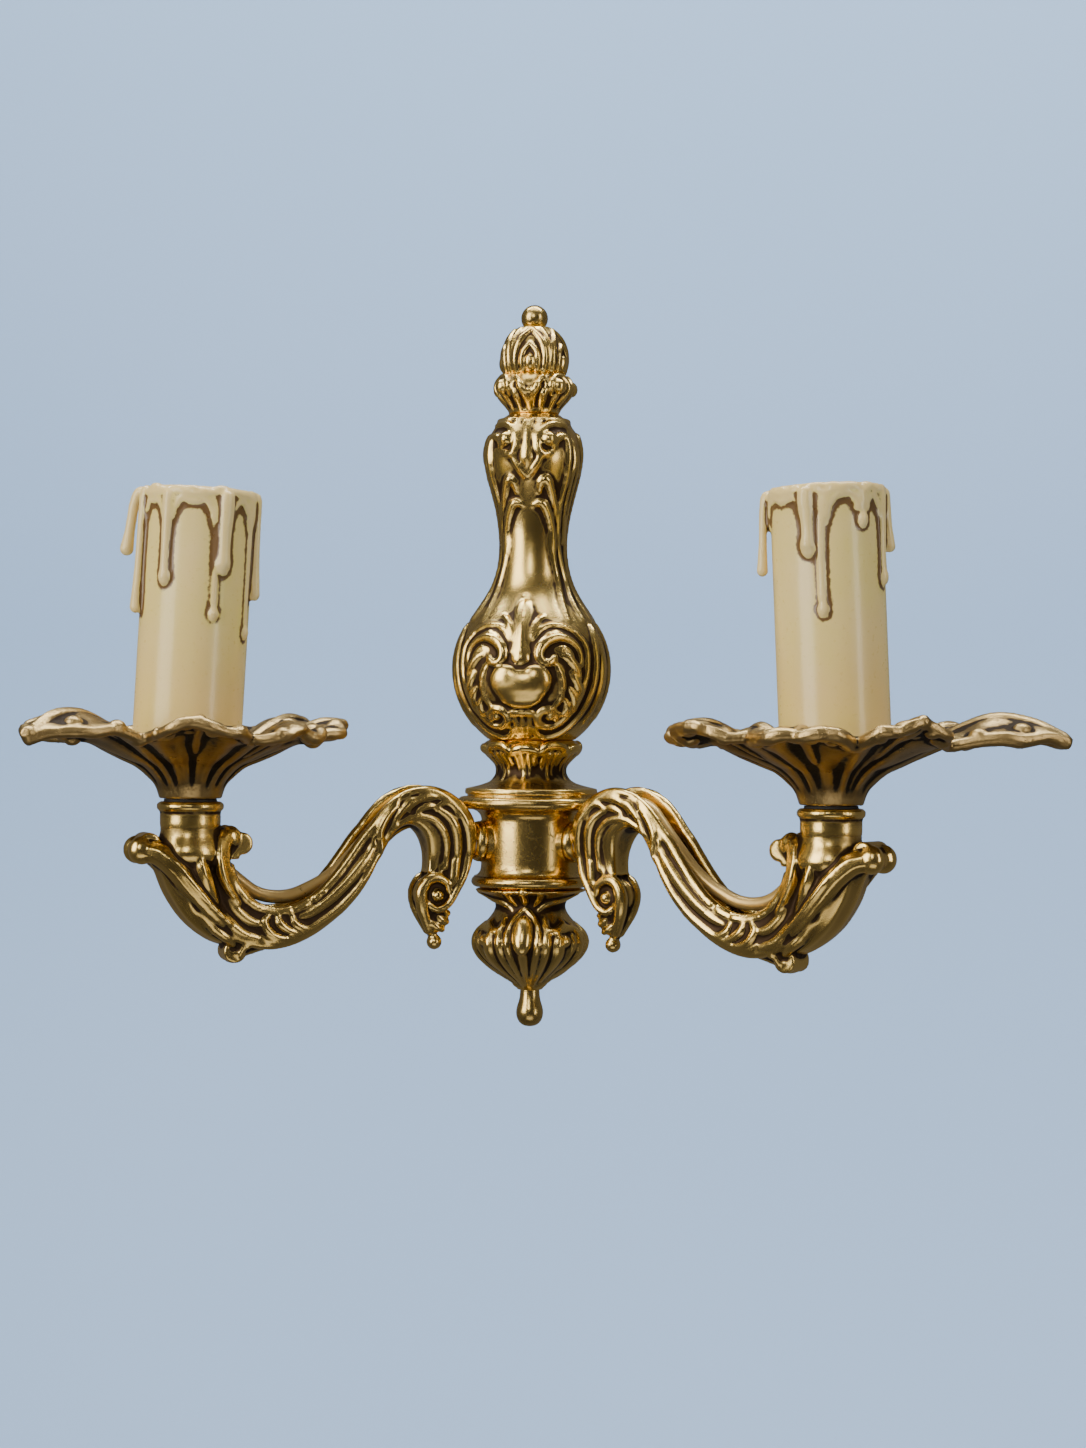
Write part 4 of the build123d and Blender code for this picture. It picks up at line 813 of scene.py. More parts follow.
@dataclass
class Crown:
    """The ring of curled leaves over the shoulder."""

    def build(self) -> bpy.types.Object:
        """Casts the crown.

        Returns:
            The finished piece.
        """
        work = Casting("crown", "leaf_crown", BODY_PLACE, 0.32)
        work.take_form()
        relief = []
        for a in (-162, -106, -50, 50, 106, 162):
            lean = 1 if a > 0 else -1
            relief.append(Knob((a, 120.9), (2.0, 1.7, 2.1), 0.1, Lay.ROUND))
            relief.append(Ridge(((a + 12 * lean, 116.8), (a + 19 * lean, 119.2), (a + 20 * lean, 121.8), (a + 10 * lean, 123.6), (a - 6 * lean, 123.3), (a - 15 * lean, 121.2), (a - 12 * lean, 118.6)),
                                (0.5, 0.9, 1.1, 1.15, 1.0, 0.8, 0.4), 0.05, Lay.ROUND))
        for a in range(-168, 180, 24):
            relief.append(Ridge(((a, 119.6), (a, 117.4), (a, 115.2)), (1.15, 1.2, 0.6), 0.35, Lay.ROUND))
        for a in (-15, 15):
            relief.append(Ridge(((1.5 * a, 123.6), (a, 121.6), (0.45 * a, 118.6), (0.3 * a, 116.0)), (0.7, 1.15, 1.1, 0.5), 0.1, Lay.ROUND))
        work.raise_relief(relief)
        piece = work.melt()
        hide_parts("leaf_crown")
        return piece


@dataclass
class Bud:
    """The closed bud on top, of overlapping ribbed leaves."""

    def build(self) -> bpy.types.Object:
        """Casts the bud.

        Returns:
            The finished piece.
        """
        work = Casting("bud", "bud_casting", BODY_PLACE, 0.3)
        work.take_form()
        relief = []
        for a in (-144, -72, 0, 72, 144):
            half = [
                Ridge(((13, 124.6), (15, 127.6), (11, 130.4), (0, 132.2)), (0.7, 0.8, 0.8, 0.7), 0.0, Lay.ROUND),
                Ridge(((27, 124.8), (28, 129.2), (21, 133.4), (2, 136.4)), (0.8, 1.0, 0.95, 0.6), 0.05, Lay.ROUND),
            ]
            relief += [one.moved(a) for one in both_sides(half)]
            relief.append(Knob((a, 127.2), (1.5, 1.2, 2.3), 0.1, Lay.ROUND))
            relief.append(Ridge(((a + 36, 125.2), (a + 36, 130.0), (a + 34, 134.4), (a + 30, 137.0)), (0.5, 0.9, 0.8, 0.3), 0.2, Lay.ROUND))
        work.raise_relief(relief)
        piece = work.melt()
        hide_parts("bud_casting")
        return piece


@dataclass
class Pendant:
    """The drop under the hub: knuckles, a lotus bud and curled gadroon leaves."""

    def build(self) -> bpy.types.Object:
        """Casts the pendant.

        Returns:
            The finished piece.
        """
        work = Casting("pendant", "pendant_casting", BODY_PLACE, 0.36)
        work.take_form()
        half = [
            Ridge(((0.3, -17.9), (2.6, -20.4), (4.1, -24.4), (3.6, -29.4), (2.0, -34.4), (0.7, -38.4)), (0.6, 0.9, 1.0, 0.95, 0.8, 0.4), 0.05),
            Ridge(((5.4, -20.6), (6.4, -24.6), (5.8, -29.4), (3.9, -33.9), (1.6, -38.0)), (0.8, 1.3, 1.4, 1.1, 0.4), 0.15),
            Ridge(((5.2, -22.2), (6.6, -23.6), (8.6, -23.6), (9.7, -22.0), (9.0, -20.4)), (0.7, 1.3, 1.5, 1.1, 0.4), 0.1),
            Ridge(((9.3, -25.8), (8.7, -29.6), (6.4, -33.4), (3.2, -37.4)), (2.2, 2.3, 1.6, 0.5), 0.4),
            Ridge(((9.4, -24.6), (10.4, -23.0), (12.2, -23.4), (13.6, -25.8), (13.3, -29.0), (11.0, -32.4), (8.0, -35.2), (4.6, -37.6)), (0.8, 1.3, 1.5, 1.7, 1.6, 1.3, 1.0, 0.3), 0.2),
            Knob((10.8, -26.0), (1.6, 1.5, 1.6)),
            Ridge(((13.2, -13.6), (9.2, -15.2), (5.6, -16.4), (3.2, -18.2)), (0.7, 1.2, 1.1, 0.4), 0.2),
            Ridge(((4.8, -13.4), (3.6, -15.2), (2.2, -17.0)), (0.6, 1.0, 0.4), 0.2),
        ]
        middle = [
            Knob((0, -24.4), (2.9, 2.4, 5.6), 0.2),
            Ridge(((0, -28.6), (0, -33.4), (0, -38.4)), (1.6, 1.2, 0.6), 0.2),
            Ridge(((0, -13.4), (0, -15.4), (0, -16.8)), (1.2, 1.3, 0.6), 0.35),
        ]
        sides = []
        for a in (70, 92, 114):
            sides.append(Ridge(((a, -22.2), (a, -24.2), (a, -28.2), (a, -33.0), (a, -38.0)), (1.1, 2.0, 2.1, 1.4, 0.3), 0.5, Lay.ROUND))
            sides.append(Ridge(((a - 11, -22.8), (a - 11, -26.6), (a - 11, -33.6)), (0.4, 1.0, 0.3), 0.3, Lay.ROUND))
        for a in (0, 60, 120):
            sides.append(Ridge(((a - 14, -38.6), (a, -38.3), (a + 14, -38.6)), (0.5, 0.6, 0.5), 0.3, Lay.ROUND))
        work.raise_relief(both_sides(half) + middle + both_sides(sides))
        piece = work.melt()
        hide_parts("pendant_casting")
        return piece


# ---------------------------------------------------------------- the arms


@dataclass
class ScrollArm:
    """One open scroll arm with its volute, rails, leaves and cup.

    Attributes:
        hand: which side it stands on.
    """

    hand: Hand

    def limb(self) -> list:
        """The rails and leaves from the volute over the arch."""
        return [
            Ridge(((19.6, -7.6), (18.6, -2.2), (19.8, 4.2), (22.6, 8.9), (26.4, 12.2), (30.6, 13.8), (36.2, 13.2), (40.5, 10.6), (43.6, 7.2),
                   (46.4, 3.6), (48.6, 1.2), (51.6, -3.0), (54.9, -7.4), (59.2, -12.1), (63.9, -15.5), (69.1, -17.2), (73.4, -17.0), (77.6, -15.4),
                   (81.4, -12.2), (84.0, -7.4), (85.4, -2.8)),
                  (1.0, 1.05, 1.05, 1.0, 1.0, 1.2, 1.5, 1.5, 1.5, 1.5, 1.5, 1.5, 1.6, 1.5, 1.3), 0.4),
            Ridge(((22.4, -7.2), (22.0, -2.1), (22.8, 2.9), (24.6, 6.4), (27.6, 8.6)), (1.5, 1.6, 1.6, 1.5, 1.0), 0.45),
            Ridge(((25.2, -6.6), (24.9, -1.6), (26.0, 2.5), (28.5, 5.5), (31.7, 6.8), (35.0, 6.6), (38.3, 5.0), (40.6, 3.2)),
                  (0.8, 0.9, 0.9, 0.85, 0.8, 0.5), 0.3),
            Ridge(((22.5, 6.4), (23.8, 9.2), (25.8, 10.5), (27.8, 9.9), (28.7, 8.6)), (0.5, 0.8, 0.8, 0.6), 0.15),
            Ridge(((25.6, 11.4), (30.6, 12.2), (34.2, 10.9), (36.0, 9.0), (36.2, 7.4)), (0.5, 1.2, 1.2, 0.8, 0.35), 0.3),
            Ridge(((29.4, 11.4), (35.0, 11.0), (37.9, 8.6), (39.5, 6.3), (41.0, 3.0)), (0.5, 1.1, 1.1, 0.8, 0.3), 0.2),
            Ridge(((27.4, 9.4), (30.8, 9.6), (33.2, 8.6), (34.6, 7.0)), (0.5, 1.1, 0.9, 0.4), 0.4),
            Ridge(((39.4, 9.9), (42.4, 6.6), (44.0, 3.2), (43.8, 0.2), (43.6, -2.6), (45.4, -5.6)), (0.6, 1.2, 1.2, 0.9, 0.7, 0.3), 0.25),
            Ridge(((45.4, 3.0), (45.6, 0.4), (44.8, -1.8)), (0.8, 0.6, 0.3), 0.4),
        ]

    def slope(self) -> list:
        """The two rails of the slope and the three small curls at its foot."""
        return [
            Ridge(((44.6, -3.0), (47.4, -8.0), (51.2, -13.2), (55.5, -17.4), (60.7, -21.0), (65.4, -23.2), (69.6, -24.8)), (0.9, 1.6, 1.8, 1.8, 1.6, 0.9), 0.55),
            Ridge(((45.6, -0.8), (48.2, -4.6), (52.6, -9.9), (57.4, -14.4), (62.0, -17.6), (66.2, -19.4)), (0.7, 2.1, 2.3, 2.2, 1.7, 0.6), 0.62),
            Ridge(((60.8, -21.2), (64.0, -21.9), (66.6, -20.8), (67.5, -18.8)), (0.4, 0.95, 1.1, 0.5), 0.15),
            Ridge(((64.2, -23.0), (67.8, -22.6), (70.5, -20.8), (71.3, -18.8)), (0.4, 1.0, 1.2, 0.55), 0.1),
            Ridge(((67.0, -24.4), (71.0, -24.2), (73.8, -22.4), (74.9, -19.9), (73.9, -18.9)), (0.4, 1.0, 1.25, 0.9, 0.6), 0.05),
            Ridge(((68.2, -25.6), (73.3, -25.0), (76.0, -23.2)), (0.4, 0.8, 0.35), 0.3),
            Ridge(((79.0, -26.6), (84.4, -24.6), (89.2, -20.4), (93.4, -14.6)), (0.8, 1.4, 1.6, 1.0), 0.4, Lay.FRONT, 4),
            Ridge(((76.4, -24.4), (80.8, -22.8), (84.8, -19.2), (87.8, -14.8)), (0.8, 1.5, 1.7, 1.0), 0.4, Lay.FRONT, 4),
            Ridge(((74.6, -20.6), (78.6, -19.8), (82.2, -16.8), (85.0, -12.4)), (0.8, 1.5, 1.6, 1.0), 0.4, Lay.FRONT, 4),
        ]

    def cup(self, work: Casting) -> None:
        """Adds the leaves that rise from the bend on to the cup, on both faces.

        Args:
            work: the casting.
        """
        for side in (-1, 1):
            for leaf in (
                ((79.0, 4.0, -24.0, 1.1), (86.6, 5.6, -19.0, 2.3), (92.8, 6.4, -12.4, 2.9), (97.8, 6.2, -6.4, 3.1), (101.8, 4.8, -2.8, 3.1), (105.4, 3.2, -1.8, 2.9)),
                ((84.0, 7.6, -20.6, 0.4), (90.2, 8.6, -14.6, 0.8), (95.4, 8.8, -8.6, 1.0), (99.6, 7.6, -3.6, 0.9), (102.6, 5.6, -0.4, 0.5)),
                ((76.2, 4.4, -19.4, 1.1), (81.6, 5.2, -14.8, 2.0), (85.4, 5.8, -8.6, 2.5), (86.4, 5.4, -2.6, 2.7), (85.2, 3.8, 1.2, 2.6)),
                ((81.8, 7.2, -15.6, 0.4), (85.6, 8.2, -9.4, 0.8), (87.0, 8.0, -3.4, 0.9), (86.4, 6.4, 1.6, 0.5)),
                ((84.6, 4.6, -21.0, 0.8), (88.8, 6.2, -13.8, 2.0), (91.4, 7.3, -7.4, 2.3), (92.6, 7.1, -2.0, 1.7), (92.9, 6.4, 1.6, 0.5)),
                ((88.6, 7.8, -14.0, 0.3), (91.3, 9.3, -7.4, 0.7), (92.6, 8.4, -2.0, 0.5)),
            ):
                work.run_tube([(x, side * y, z, r) for x, y, z, r in leaf])

    def curls(self, work: Casting) -> None:
        """Adds the two straps that curl off the cup, the volute and the knob.

        Args:
            work: the casting.
        """
        work.run_tube([(81.6, 0, -25.6, 1.4), (87.0, 0, -22.8, 2.6), (92.6, 0, -17.8, 3.3), (96.8, 0, -11.6, 3.5), (99.8, 0, -5.4, 3.2),
                       (102.6, 0, -1.6, 2.9), (105.0, 0, -1.0, 2.6), (106.6, 0, -1.6, 2.4)], 2.0)
        work.run_tube([(79.0, 0, -15.2, 1.6), (83.4, 0, -11.0, 1.7), (86.0, 0, -5.2, 1.8), (86.6, 0, 0.0, 1.9), (85.6, 0, 2.2, 1.9), (83.8, 0, 2.2, 1.8)], 2.2)
        for y in (-3.0, 3.0):
            work.ball((106.2, y, -1.6), (3.6, 3.0, 3.7))
            work.ball((83.2, 0.9 * y, 1.4), (3.0, 2.8, 3.3))
        work.run_tube([(25.7, 0, -7.4, 2.0), (25.5, 0, -1.6, 2.0), (26.7, 0, 2.1, 2.0), (29.1, 0, 4.6, 2.0), (32.2, 0, 5.6, 2.0), (35.4, 0, 5.2, 2.0),
                       (38.6, 0, 3.4, 1.9), (41.2, 0, 0.8, 1.6)], 1.9)
        work.ball((26.4, 0, -8.6), (3.2, 3.5, 2.8))
        work.ball((81.6, 0, -28.2), (3.1, 4.4, 2.9))
        work.ball((28.0, 0, -13.8), (4.9, 3.7, 5.0))
        work.ball((23.6, 0, -8.6), (5.0, 3.7, 3.8))
        work.run_tube([(28.8, 0, -17.0, 2.9), (28.6, 0, -20.4, 2.2), (27.8, 0, -23.2, 1.5), (27.2, 0, -25.2, 1.1)], 1.25)
        work.ball((27.0, 0, -26.5), (2.05, 2.2, 2.1))
        for side in (-1, 1):
            work.run_tube([(69.5, 3.0 * side, -25.4, 0.8), (74.0, 3.0 * side, -26.2, 1.4), (78.0, 2.4 * side, -27.2, 1.7), (81.0, 1.6 * side, -28.2, 1.8)])
            work.run_tube([(72.0, 4.6 * side, -24.6, 0.5), (76.6, 5.0 * side, -25.0, 0.9), (79.6, 4.8 * side, -26.6, 1.0), (80.6, 4.4 * side, -28.8, 0.5)])
            y = 3.5 * side
            work.run_tube([(18.8, 1.0 * y, -2.6, 1.2), (19.7, 0.95 * y, -8.0, 1.25), (21.9, 0.95 * y, -12.6, 1.2), (24.2, 0.95 * y, -16.4, 1.1),
                           (27.0, y, -17.8, 0.95), (29.2, y, -16.6, 0.7), (29.8, y, -15.0, 0.4)])
            work.run_tube([(22.4, 0.95 * y, -5.0, 1.6), (22.8, 0.95 * y, -9.4, 1.4), (24.2, 0.95 * y, -12.4, 0.8)])
            work.run_tube([(24.0, y, -13.2, 0.6), (24.6, 1.05 * y, -11.0, 1.0), (27.0, 1.05 * y, -9.4, 1.3), (30.0, y, -10.0, 1.6), (31.6, 0.9 * y, -13.2, 1.8),
                           (31.2, 0.75 * y, -17.0, 1.8), (30.0, 0.5 * y, -20.4, 1.5), (28.8, 0.3 * y, -23.6, 1.0)])
            work.run_tube([(25.8, 0.85 * y, -4.4, 1.0), (26.4, 0.9 * y, -7.4, 1.0), (27.4, 0.95 * y, -9.8, 0.8)])
            work.ball((27.1, 1.0 * y, -14.1), (1.55, 1.5, 1.55))
            for x, z, r in ((23.9, -18.9, 1.0), (24.2, -21.1, 1.0), (25.2, -23.2, 0.85)):
                work.run_tube([(x, 1.6 * side, z, r), (x + 1.7, 2.0 * side, z + 0.7, 1.15), (x + 3.6, 2.0 * side, z + 2.4, 0.9)])

    def build(self) -> bpy.types.Object:
        """Casts the arm.

        Returns:
            The finished piece.
        """
        node = self.hand.word + "_arm"
        work = Casting(self.hand.word + "_scroll_arm", node, arm_place(self.hand), 0.42)
        work.take_form()
        foot = [face for face in work.form.faces if face.calc_center_median().x < 42]
        near = {one for face in foot for one in (*face.verts, *face.edges, face)}
        bmesh.ops.bisect_plane(work.form, geom=list(near), plane_co=(0, 0, -8.0), plane_no=(0, 0, -1), clear_outer=True)
        bmesh.ops.holes_fill(work.form, edges=work.form.edges)
        for vert in work.form.verts:
            low = min(max((7.0 - vert.co.z) / 13.0, 0), 1) * (vert.co.x < 36)
            vert.co.y *= 1 - 0.42 * low * low * (3 - 2 * low)
        work.skin = BVHTree.FromBMesh(work.form)
        relief = self.limb() + self.slope()
        work.raise_relief(relief + [one.laid(Lay.BACK) for one in relief])
        self.cup(work)
        self.curls(work)
        piece = work.melt()
        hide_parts(node)
        return piece


@dataclass
class DomedSpacer:
    """The rounded boss between the hub and one arm.

    Attributes:
        hand: which side it stands on.
    """

    hand: Hand
    profile: tuple = ((13.9, 3.9), (13.9, 5.1), (14.15, 5.36), (14.7, 5.4), (15.3, 5.3), (15.9, 5.0), (16.35, 4.5), (16.6, 4.1), (16.6, 3.9))

    def build(self) -> bpy.types.Object:
        """Turns the boss.

        Returns:
            The finished piece.
        """
        form = bmesh.new()
        points = [form.verts.new((s, 0, r)) for s, r in self.profile]
        for pair in zip(points, points[1:] + points[:1]):
            form.edges.new(pair)
        bmesh.ops.spin(form, geom=form.verts[:] + form.edges[:], cent=(0, 0, 0), axis=(1, 0, 0), angle=2 * pi, steps=72, use_merge=True)
        bmesh.ops.remove_doubles(form, verts=form.verts, dist=0.0005)
        bmesh.ops.transform(form, matrix=Matrix.Scale(MM, 4) @ arm_place(self.hand), verts=form.verts)
        bmesh.ops.recalc_face_normals(form, faces=form.faces)
        piece = finished_piece(self.hand.word + "_boss", form)
        for face in piece.data.polygons:
            face.use_smooth = True
        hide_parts(self.hand.word + "_arm_spacer")
        return piece


# ---------------------------------------------------------------- pans and candles


@dataclass
class LeafPan:
    """One cast drip pan: a fluted trumpet that opens into ruffled leaf lobes.

    Attributes:
        hand: which side it stands on.
        turn: the long tip from the arm's own direction, in degrees.
    """

    hand: Hand
    turn: float
    base_up: float = 11.4
    thick: float = 1.9
    reach: tuple = (60.0, 42.5, 40.0, 41.0, 47.0, 44.0, 41.0, 43.0)
    valley: float = 35.0
    under: tuple = ((7.9, 0.0), (9.6, 4.4), (13.6, 8.4), (18.2, 10.6), (29.0, 15.6), (41.0, 19.2), (52.0, 18.4), (63.0, 15.6))

    def rim(self, angle: float) -> float:
        """How far out the leaf's edge stands at an angle from the long tip.

        Args:
            angle: the angle in degrees.

        Returns:
            The radius in millimetres.
        """
        step = 360 / len(self.reach)
        lobe = self.hand.value * round(angle / step) % len(self.reach)
        off = (angle / step) - round(angle / step)
        bow = 1 - abs(2 * off) ** 2.4
        if lobe == 0:
            bow = max(0.0, 1 - abs(2 * off) ** 1.15) ** 1.1
        ripple = 0.7 * sin(radians(angle * 17)) + 0.5 * sin(radians(angle * 29 + 40))
        return min(self.valley + (self.reach[lobe] - self.valley) * bow + ripple, self.reach[lobe]) - 0.9

    def level(self, r: float, angle: float, rim: float) -> float:
        """The height of the leaf's underside.

        Args:
            r: the radius.
            angle: the angle from the long tip, in degrees.
            rim: the leaf's edge at that angle.

        Returns:
            The height above the pan's foot.
        """
        off = angle / 45 - round(angle / 45)
        lobe = round(angle / 45)
        opened = min(max((r - 14) / 24, 0), 1)
        edge = min(max((r - 0.72 * rim) / (0.28 * rim), 0), 1)
        wander = noise.noise(Vector((cos(radians(angle)) * 1.7, sin(radians(angle)) * 1.7, 2.0 + self.hand.value)))
        ribs = (0.6 * cos(radians(angle * 16) + 2.6 * wander) + 0.35 * cos(radians(angle * 25) - 3.1 * wander)) * (0.85 - 0.35 * opened) * min(1, max(0, (r - 8) / 3))
        fold = (cos(2 * pi * off) - 0.4) * 1.5 * opened
        droop = 2.6 * edge**1.6 * (0.65 + 0.35 * cos(2 * pi * off)) * (1.0 + 0.45 * sin(lobe * 2.4))
        lump = noise.noise(Vector((r * cos(radians(angle)) * 0.16, r * sin(radians(angle)) * 0.16, 5.3 * self.hand.value)))
        return float(np.interp(r, self.radii, self.heights)) + ribs + fold - droop + lump * (0.8 + 1.1 * edge) * opened + 0.8 * wander * opened

    def build(self) -> bpy.types.Object:
        """Shapes the pan.

        Returns:
            The finished piece.
        """
        rows = smooth_run(list(self.under), 8)
        self.radii, self.heights = rows[:, 0], rows[:, 1]
        place = arm_place(self.hand) @ Matrix.Translation((CUP_REACH, 0, self.base_up)) @ Matrix.Rotation(radians(self.turn), 4, "Z")
        work = Casting(self.hand.word + "_leaf_pan", "", place, 0.46, 2)
        points = [work.form.verts.new((r, 0, z)) for r, z in rows]
        for pair in zip(points, points[1:]):
            work.form.edges.new(pair)
        bmesh.ops.spin(work.form, geom=work.form.verts[:] + work.form.edges[:], cent=(0, 0, 0), axis=(0, 0, 1), angle=2 * pi, steps=336, use_merge=True)
        bmesh.ops.remove_doubles(work.form, verts=work.form.verts, dist=0.0005)
        for vert in work.form.verts:
            r, angle = hypot(vert.co.x, vert.co.y), degrees(atan2(vert.co.y, vert.co.x))
            rim = self.rim(angle)
            out = r if r < 12 else 12 + (rim - 12) * min((r - 12) / 51, 1) ** 0.92
            vert.co = Vector((out * cos(radians(angle)), out * sin(radians(angle)), self.level(out, angle, rim)))
        bmesh.ops.recalc_face_normals(work.form, faces=work.form.faces)
        if sum(face.normal.z for face in work.form.faces) > 0:
            bmesh.ops.reverse_faces(work.form, faces=work.form.faces)
        bmesh.ops.solidify(work.form, geom=work.form.faces[:], thickness=self.thick)
        edge = []
        for step in range(0, 361, 3):
            rim = self.rim(step)
            swell = 0.75 * noise.noise(Vector((step * 0.09, 0.5, self.hand.value)))
            r = rim - 0.9
            edge.append((r * cos(radians(step)), r * sin(radians(step)), self.level(r, step, rim) + 0.3 * self.thick + 0.8 * swell, 1.65 + swell))
        work.run_tube(edge)
        for lobe in range(8):
            angle = 45 * lobe
            rim = self.rim(angle)
            vein = [(k * rim, self.level(k * rim, angle, rim)) for k in (0.36, 0.5, 0.68, 0.84, 0.97)]
            work.run_tube([(r * cos(radians(angle)), r * sin(radians(angle)), z + 0.9, w) for (r, z), w in zip(vein, (0.2, 1.5, 2.0, 2.4, 1.9))])
            for turn, k in ((-15, 0.93), (13, 0.9), (-6, 0.93), (4, 0.8)):
                r = k * self.rim(angle + turn)
                a = radians(angle + turn)
                work.ball((r * cos(a), r * sin(a), self.level(r, angle + turn, rim) + 0.6), (2.4, 2.4, 1.9))
        for step in range(0, 360, 10):
            lump = noise.noise(Vector((step * 0.7, 1.5, 3.0 * self.hand.value)))
            rim, a = self.rim(step), radians(step)
            r = rim - 2.0 + lump
            work.ball((r * cos(a), r * sin(a), self.level(r, step, rim) + 0.4 + 1.6 * lump), (2.5 + lump, 2.1, 1.7 + 0.7 * lump))
        piece = work.melt()
        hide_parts(self.hand.word + "_drip_pan")
        return piece


@dataclass
class CandleSleeve:
    """One cream candle sleeve with wax runs down its side.

    Attributes:
        hand: which side it stands on.
        facing: the candle's own angle that faces the camera.
        runs: each run as its angle from there, its length, its radius and how far it stands off.
    """

    hand: Hand
    facing: float
    runs: tuple
    radius: float = 14.0
    wall: float = 1.7
    length: float = 66.5
    foot_up: float = 24.18
    lean: float = 3.0
    shift: float = 1.2

    def build(self) -> bpy.types.Object:
        """Shapes the sleeve.

        Returns:
            The finished piece.
        """
        place = (BODY_PLACE @ Matrix.Rotation(-ARM_ANGLE, 4, "Z") @ Matrix.Translation((CUP_REACH + self.shift, 0, self.foot_up))
                 @ Matrix.Rotation(radians(-self.lean), 4, "Y"))
        work = Casting(self.hand.word + "_sleeve", "", Matrix.Scale(self.hand.value, 4, (1, 0, 0)) @ place, 0.43, 3)
        profile = ((self.radius, 0.0), (self.radius, self.length - 1), (self.radius - 0.4, self.length + 0.3),
                   (self.radius - self.wall, self.length), (self.radius - self.wall, 0.0))
        points = [work.form.verts.new((r, 0, z)) for r, z in profile]
        for a, b in zip(points, points[1:] + points[:1]):
            work.form.edges.new((a, b))
        bmesh.ops.spin(work.form, geom=work.form.verts[:] + work.form.edges[:], axis=(0, 0, 1), cent=(0, 0, 0), angle=2 * pi, steps=96, use_merge=True)
        bmesh.ops.remove_doubles(work.form, verts=work.form.verts, dist=0.0005)
        bmesh.ops.recalc_face_normals(work.form, faces=work.form.faces)
        work.skin = BVHTree.FromBMesh(work.form)
        top = self.length
        rim = []
        for a in range(0, 361, 10):
            rim.append((a, top - 1.5 + 1.2 * noise.noise(Vector((4 * cos(radians(a)), 4 * sin(radians(a)), 4.0 + self.hand.value)))))
        work.raise_relief([Ridge(tuple(rim), (1.35,), 0.15, Lay.ROUND), Ridge(tuple((a, z - 1.7) for a, z in rim), (1.2,), 0.3, Lay.ROUND)])
        runs = sorted((self.facing + self.hand.value * angle, length, r, off) for angle, length, r, off in self.runs)
        for (angle, length, r, off), after in zip(runs, runs[1:] + [(runs[0][0] + 360, *runs[0][1:])]):
            gap = after[0] - angle
            for turn in (0.3, 0.55, 0.8):
                lump = noise.noise(Vector((angle * 0.31 + 5 * turn, 2.0, 1.0)))
                work.raise_relief([Knob((angle + turn * gap, top - 1.0 + 0.7 * lump), (2.4 + lump, 1.2, 1.3 + 0.5 * lump), 0.2, Lay.ROUND)])
            arch = min(0.5 * gap, 16)
            if off == 0:
                sway = 3 * noise.noise(Vector((angle * 0.13, 1.0, 2.0)))
                work.raise_relief([Ridge(((angle, top - 2.4), (angle, top - 4.6), (angle + sway, top - 0.35 * length - 2), (angle + 1.4 * sway, top - 0.75 * length), (angle + sway, top - length)),
                                         (1.1 * r, 1.15 * r, 1.05 * r, 0.9 * r, 1.0 * r), min(0.35, 1.4 / r - 1), Lay.ROUND),
                                   Knob((angle + sway, top - length), (1.15 * r, min(1.1 * r, 1.6), 1.7 * r), -0.1, Lay.ROUND),
                                   Knob((angle, top - 3.2), (3.6, 1.3, 2.8), 0.25, Lay.ROUND),
                                   Knob((angle, top - 5.2), (2.2 + 0.3 * r, 1.3, min(0.3 * length, 5.4)), 0.15, Lay.ROUND)])
            else:
                a, b = sin(radians(angle)), -cos(radians(angle))
                reach = ((self.radius - 0.6, top - 1.4), (self.radius + 0.45 * off, top - 1.6), (self.radius + 0.8 * off, top - 0.3 * length), (self.radius + off, top - 0.7 * length),
                         (self.radius + 1.15 * off, top - length))
                work.run_tube([(d * a, d * b, z, w * r) for (d, z), w in zip(reach, (1.1, 1.15, 0.95, 0.95, 1.25))])
            lows = (min(9.0, 0.5 * length), min(9.0, 0.5 * after[1]))
            curve = ((angle + 4, top - 1.0 - lows[0]), (angle + 7, top - 1.0 - 0.55 * lows[0]), (angle + 1.1 * arch, top - 2.4), (after[0] - 1.1 * arch, top - 2.4),
                     (after[0] - 7, top - 1.0 - 0.55 * lows[1]), (after[0] - 4, top - 1.0 - lows[1]))
            work.raise_relief([Ridge(curve, (0.6, 1.0, 1.25, 1.25, 1.0, 0.6), 0.2, Lay.ROUND)])
        piece = work.melt()
        self.calm_bore(piece.data, work.place)
        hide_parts(self.hand.word + "_candle_sleeve")
        return piece

    def calm_bore(self, mesh: bpy.types.Mesh, place: Matrix) -> None:
        """Takes the antiquing out of the bore, which no brush reaches.

        Args:
            mesh: the finished skin.
            place: where the sleeve stands, in millimetres.
        """
        back = (Matrix.Scale(MM, 4) @ place).inverted()
        inside = self.radius - self.wall + 0.6
        for point, note in zip(mesh.vertices, mesh.attributes["relief"].data):
            at = back @ point.co
            if hypot(at.x, at.y) < inside:
                note.value = 0.5


# ---------------------------------------------------------------- dressing and studio


def dress(piece: bpy.types.Object, material: bpy.types.Material, body: str) -> None:
    """Gives a new piece its finish, slot and body.

    Args:
        piece: the piece.
        material: its finish.
        body: the body it rides on.
    """
    piece.data.materials.clear()
    piece.data.materials.append(material)
    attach(piece, body)
    faces = sum(len(face.vertices) - 2 for face in piece.data.polygons)
    LOG.info("%s: %d triangles", piece.name, faces)


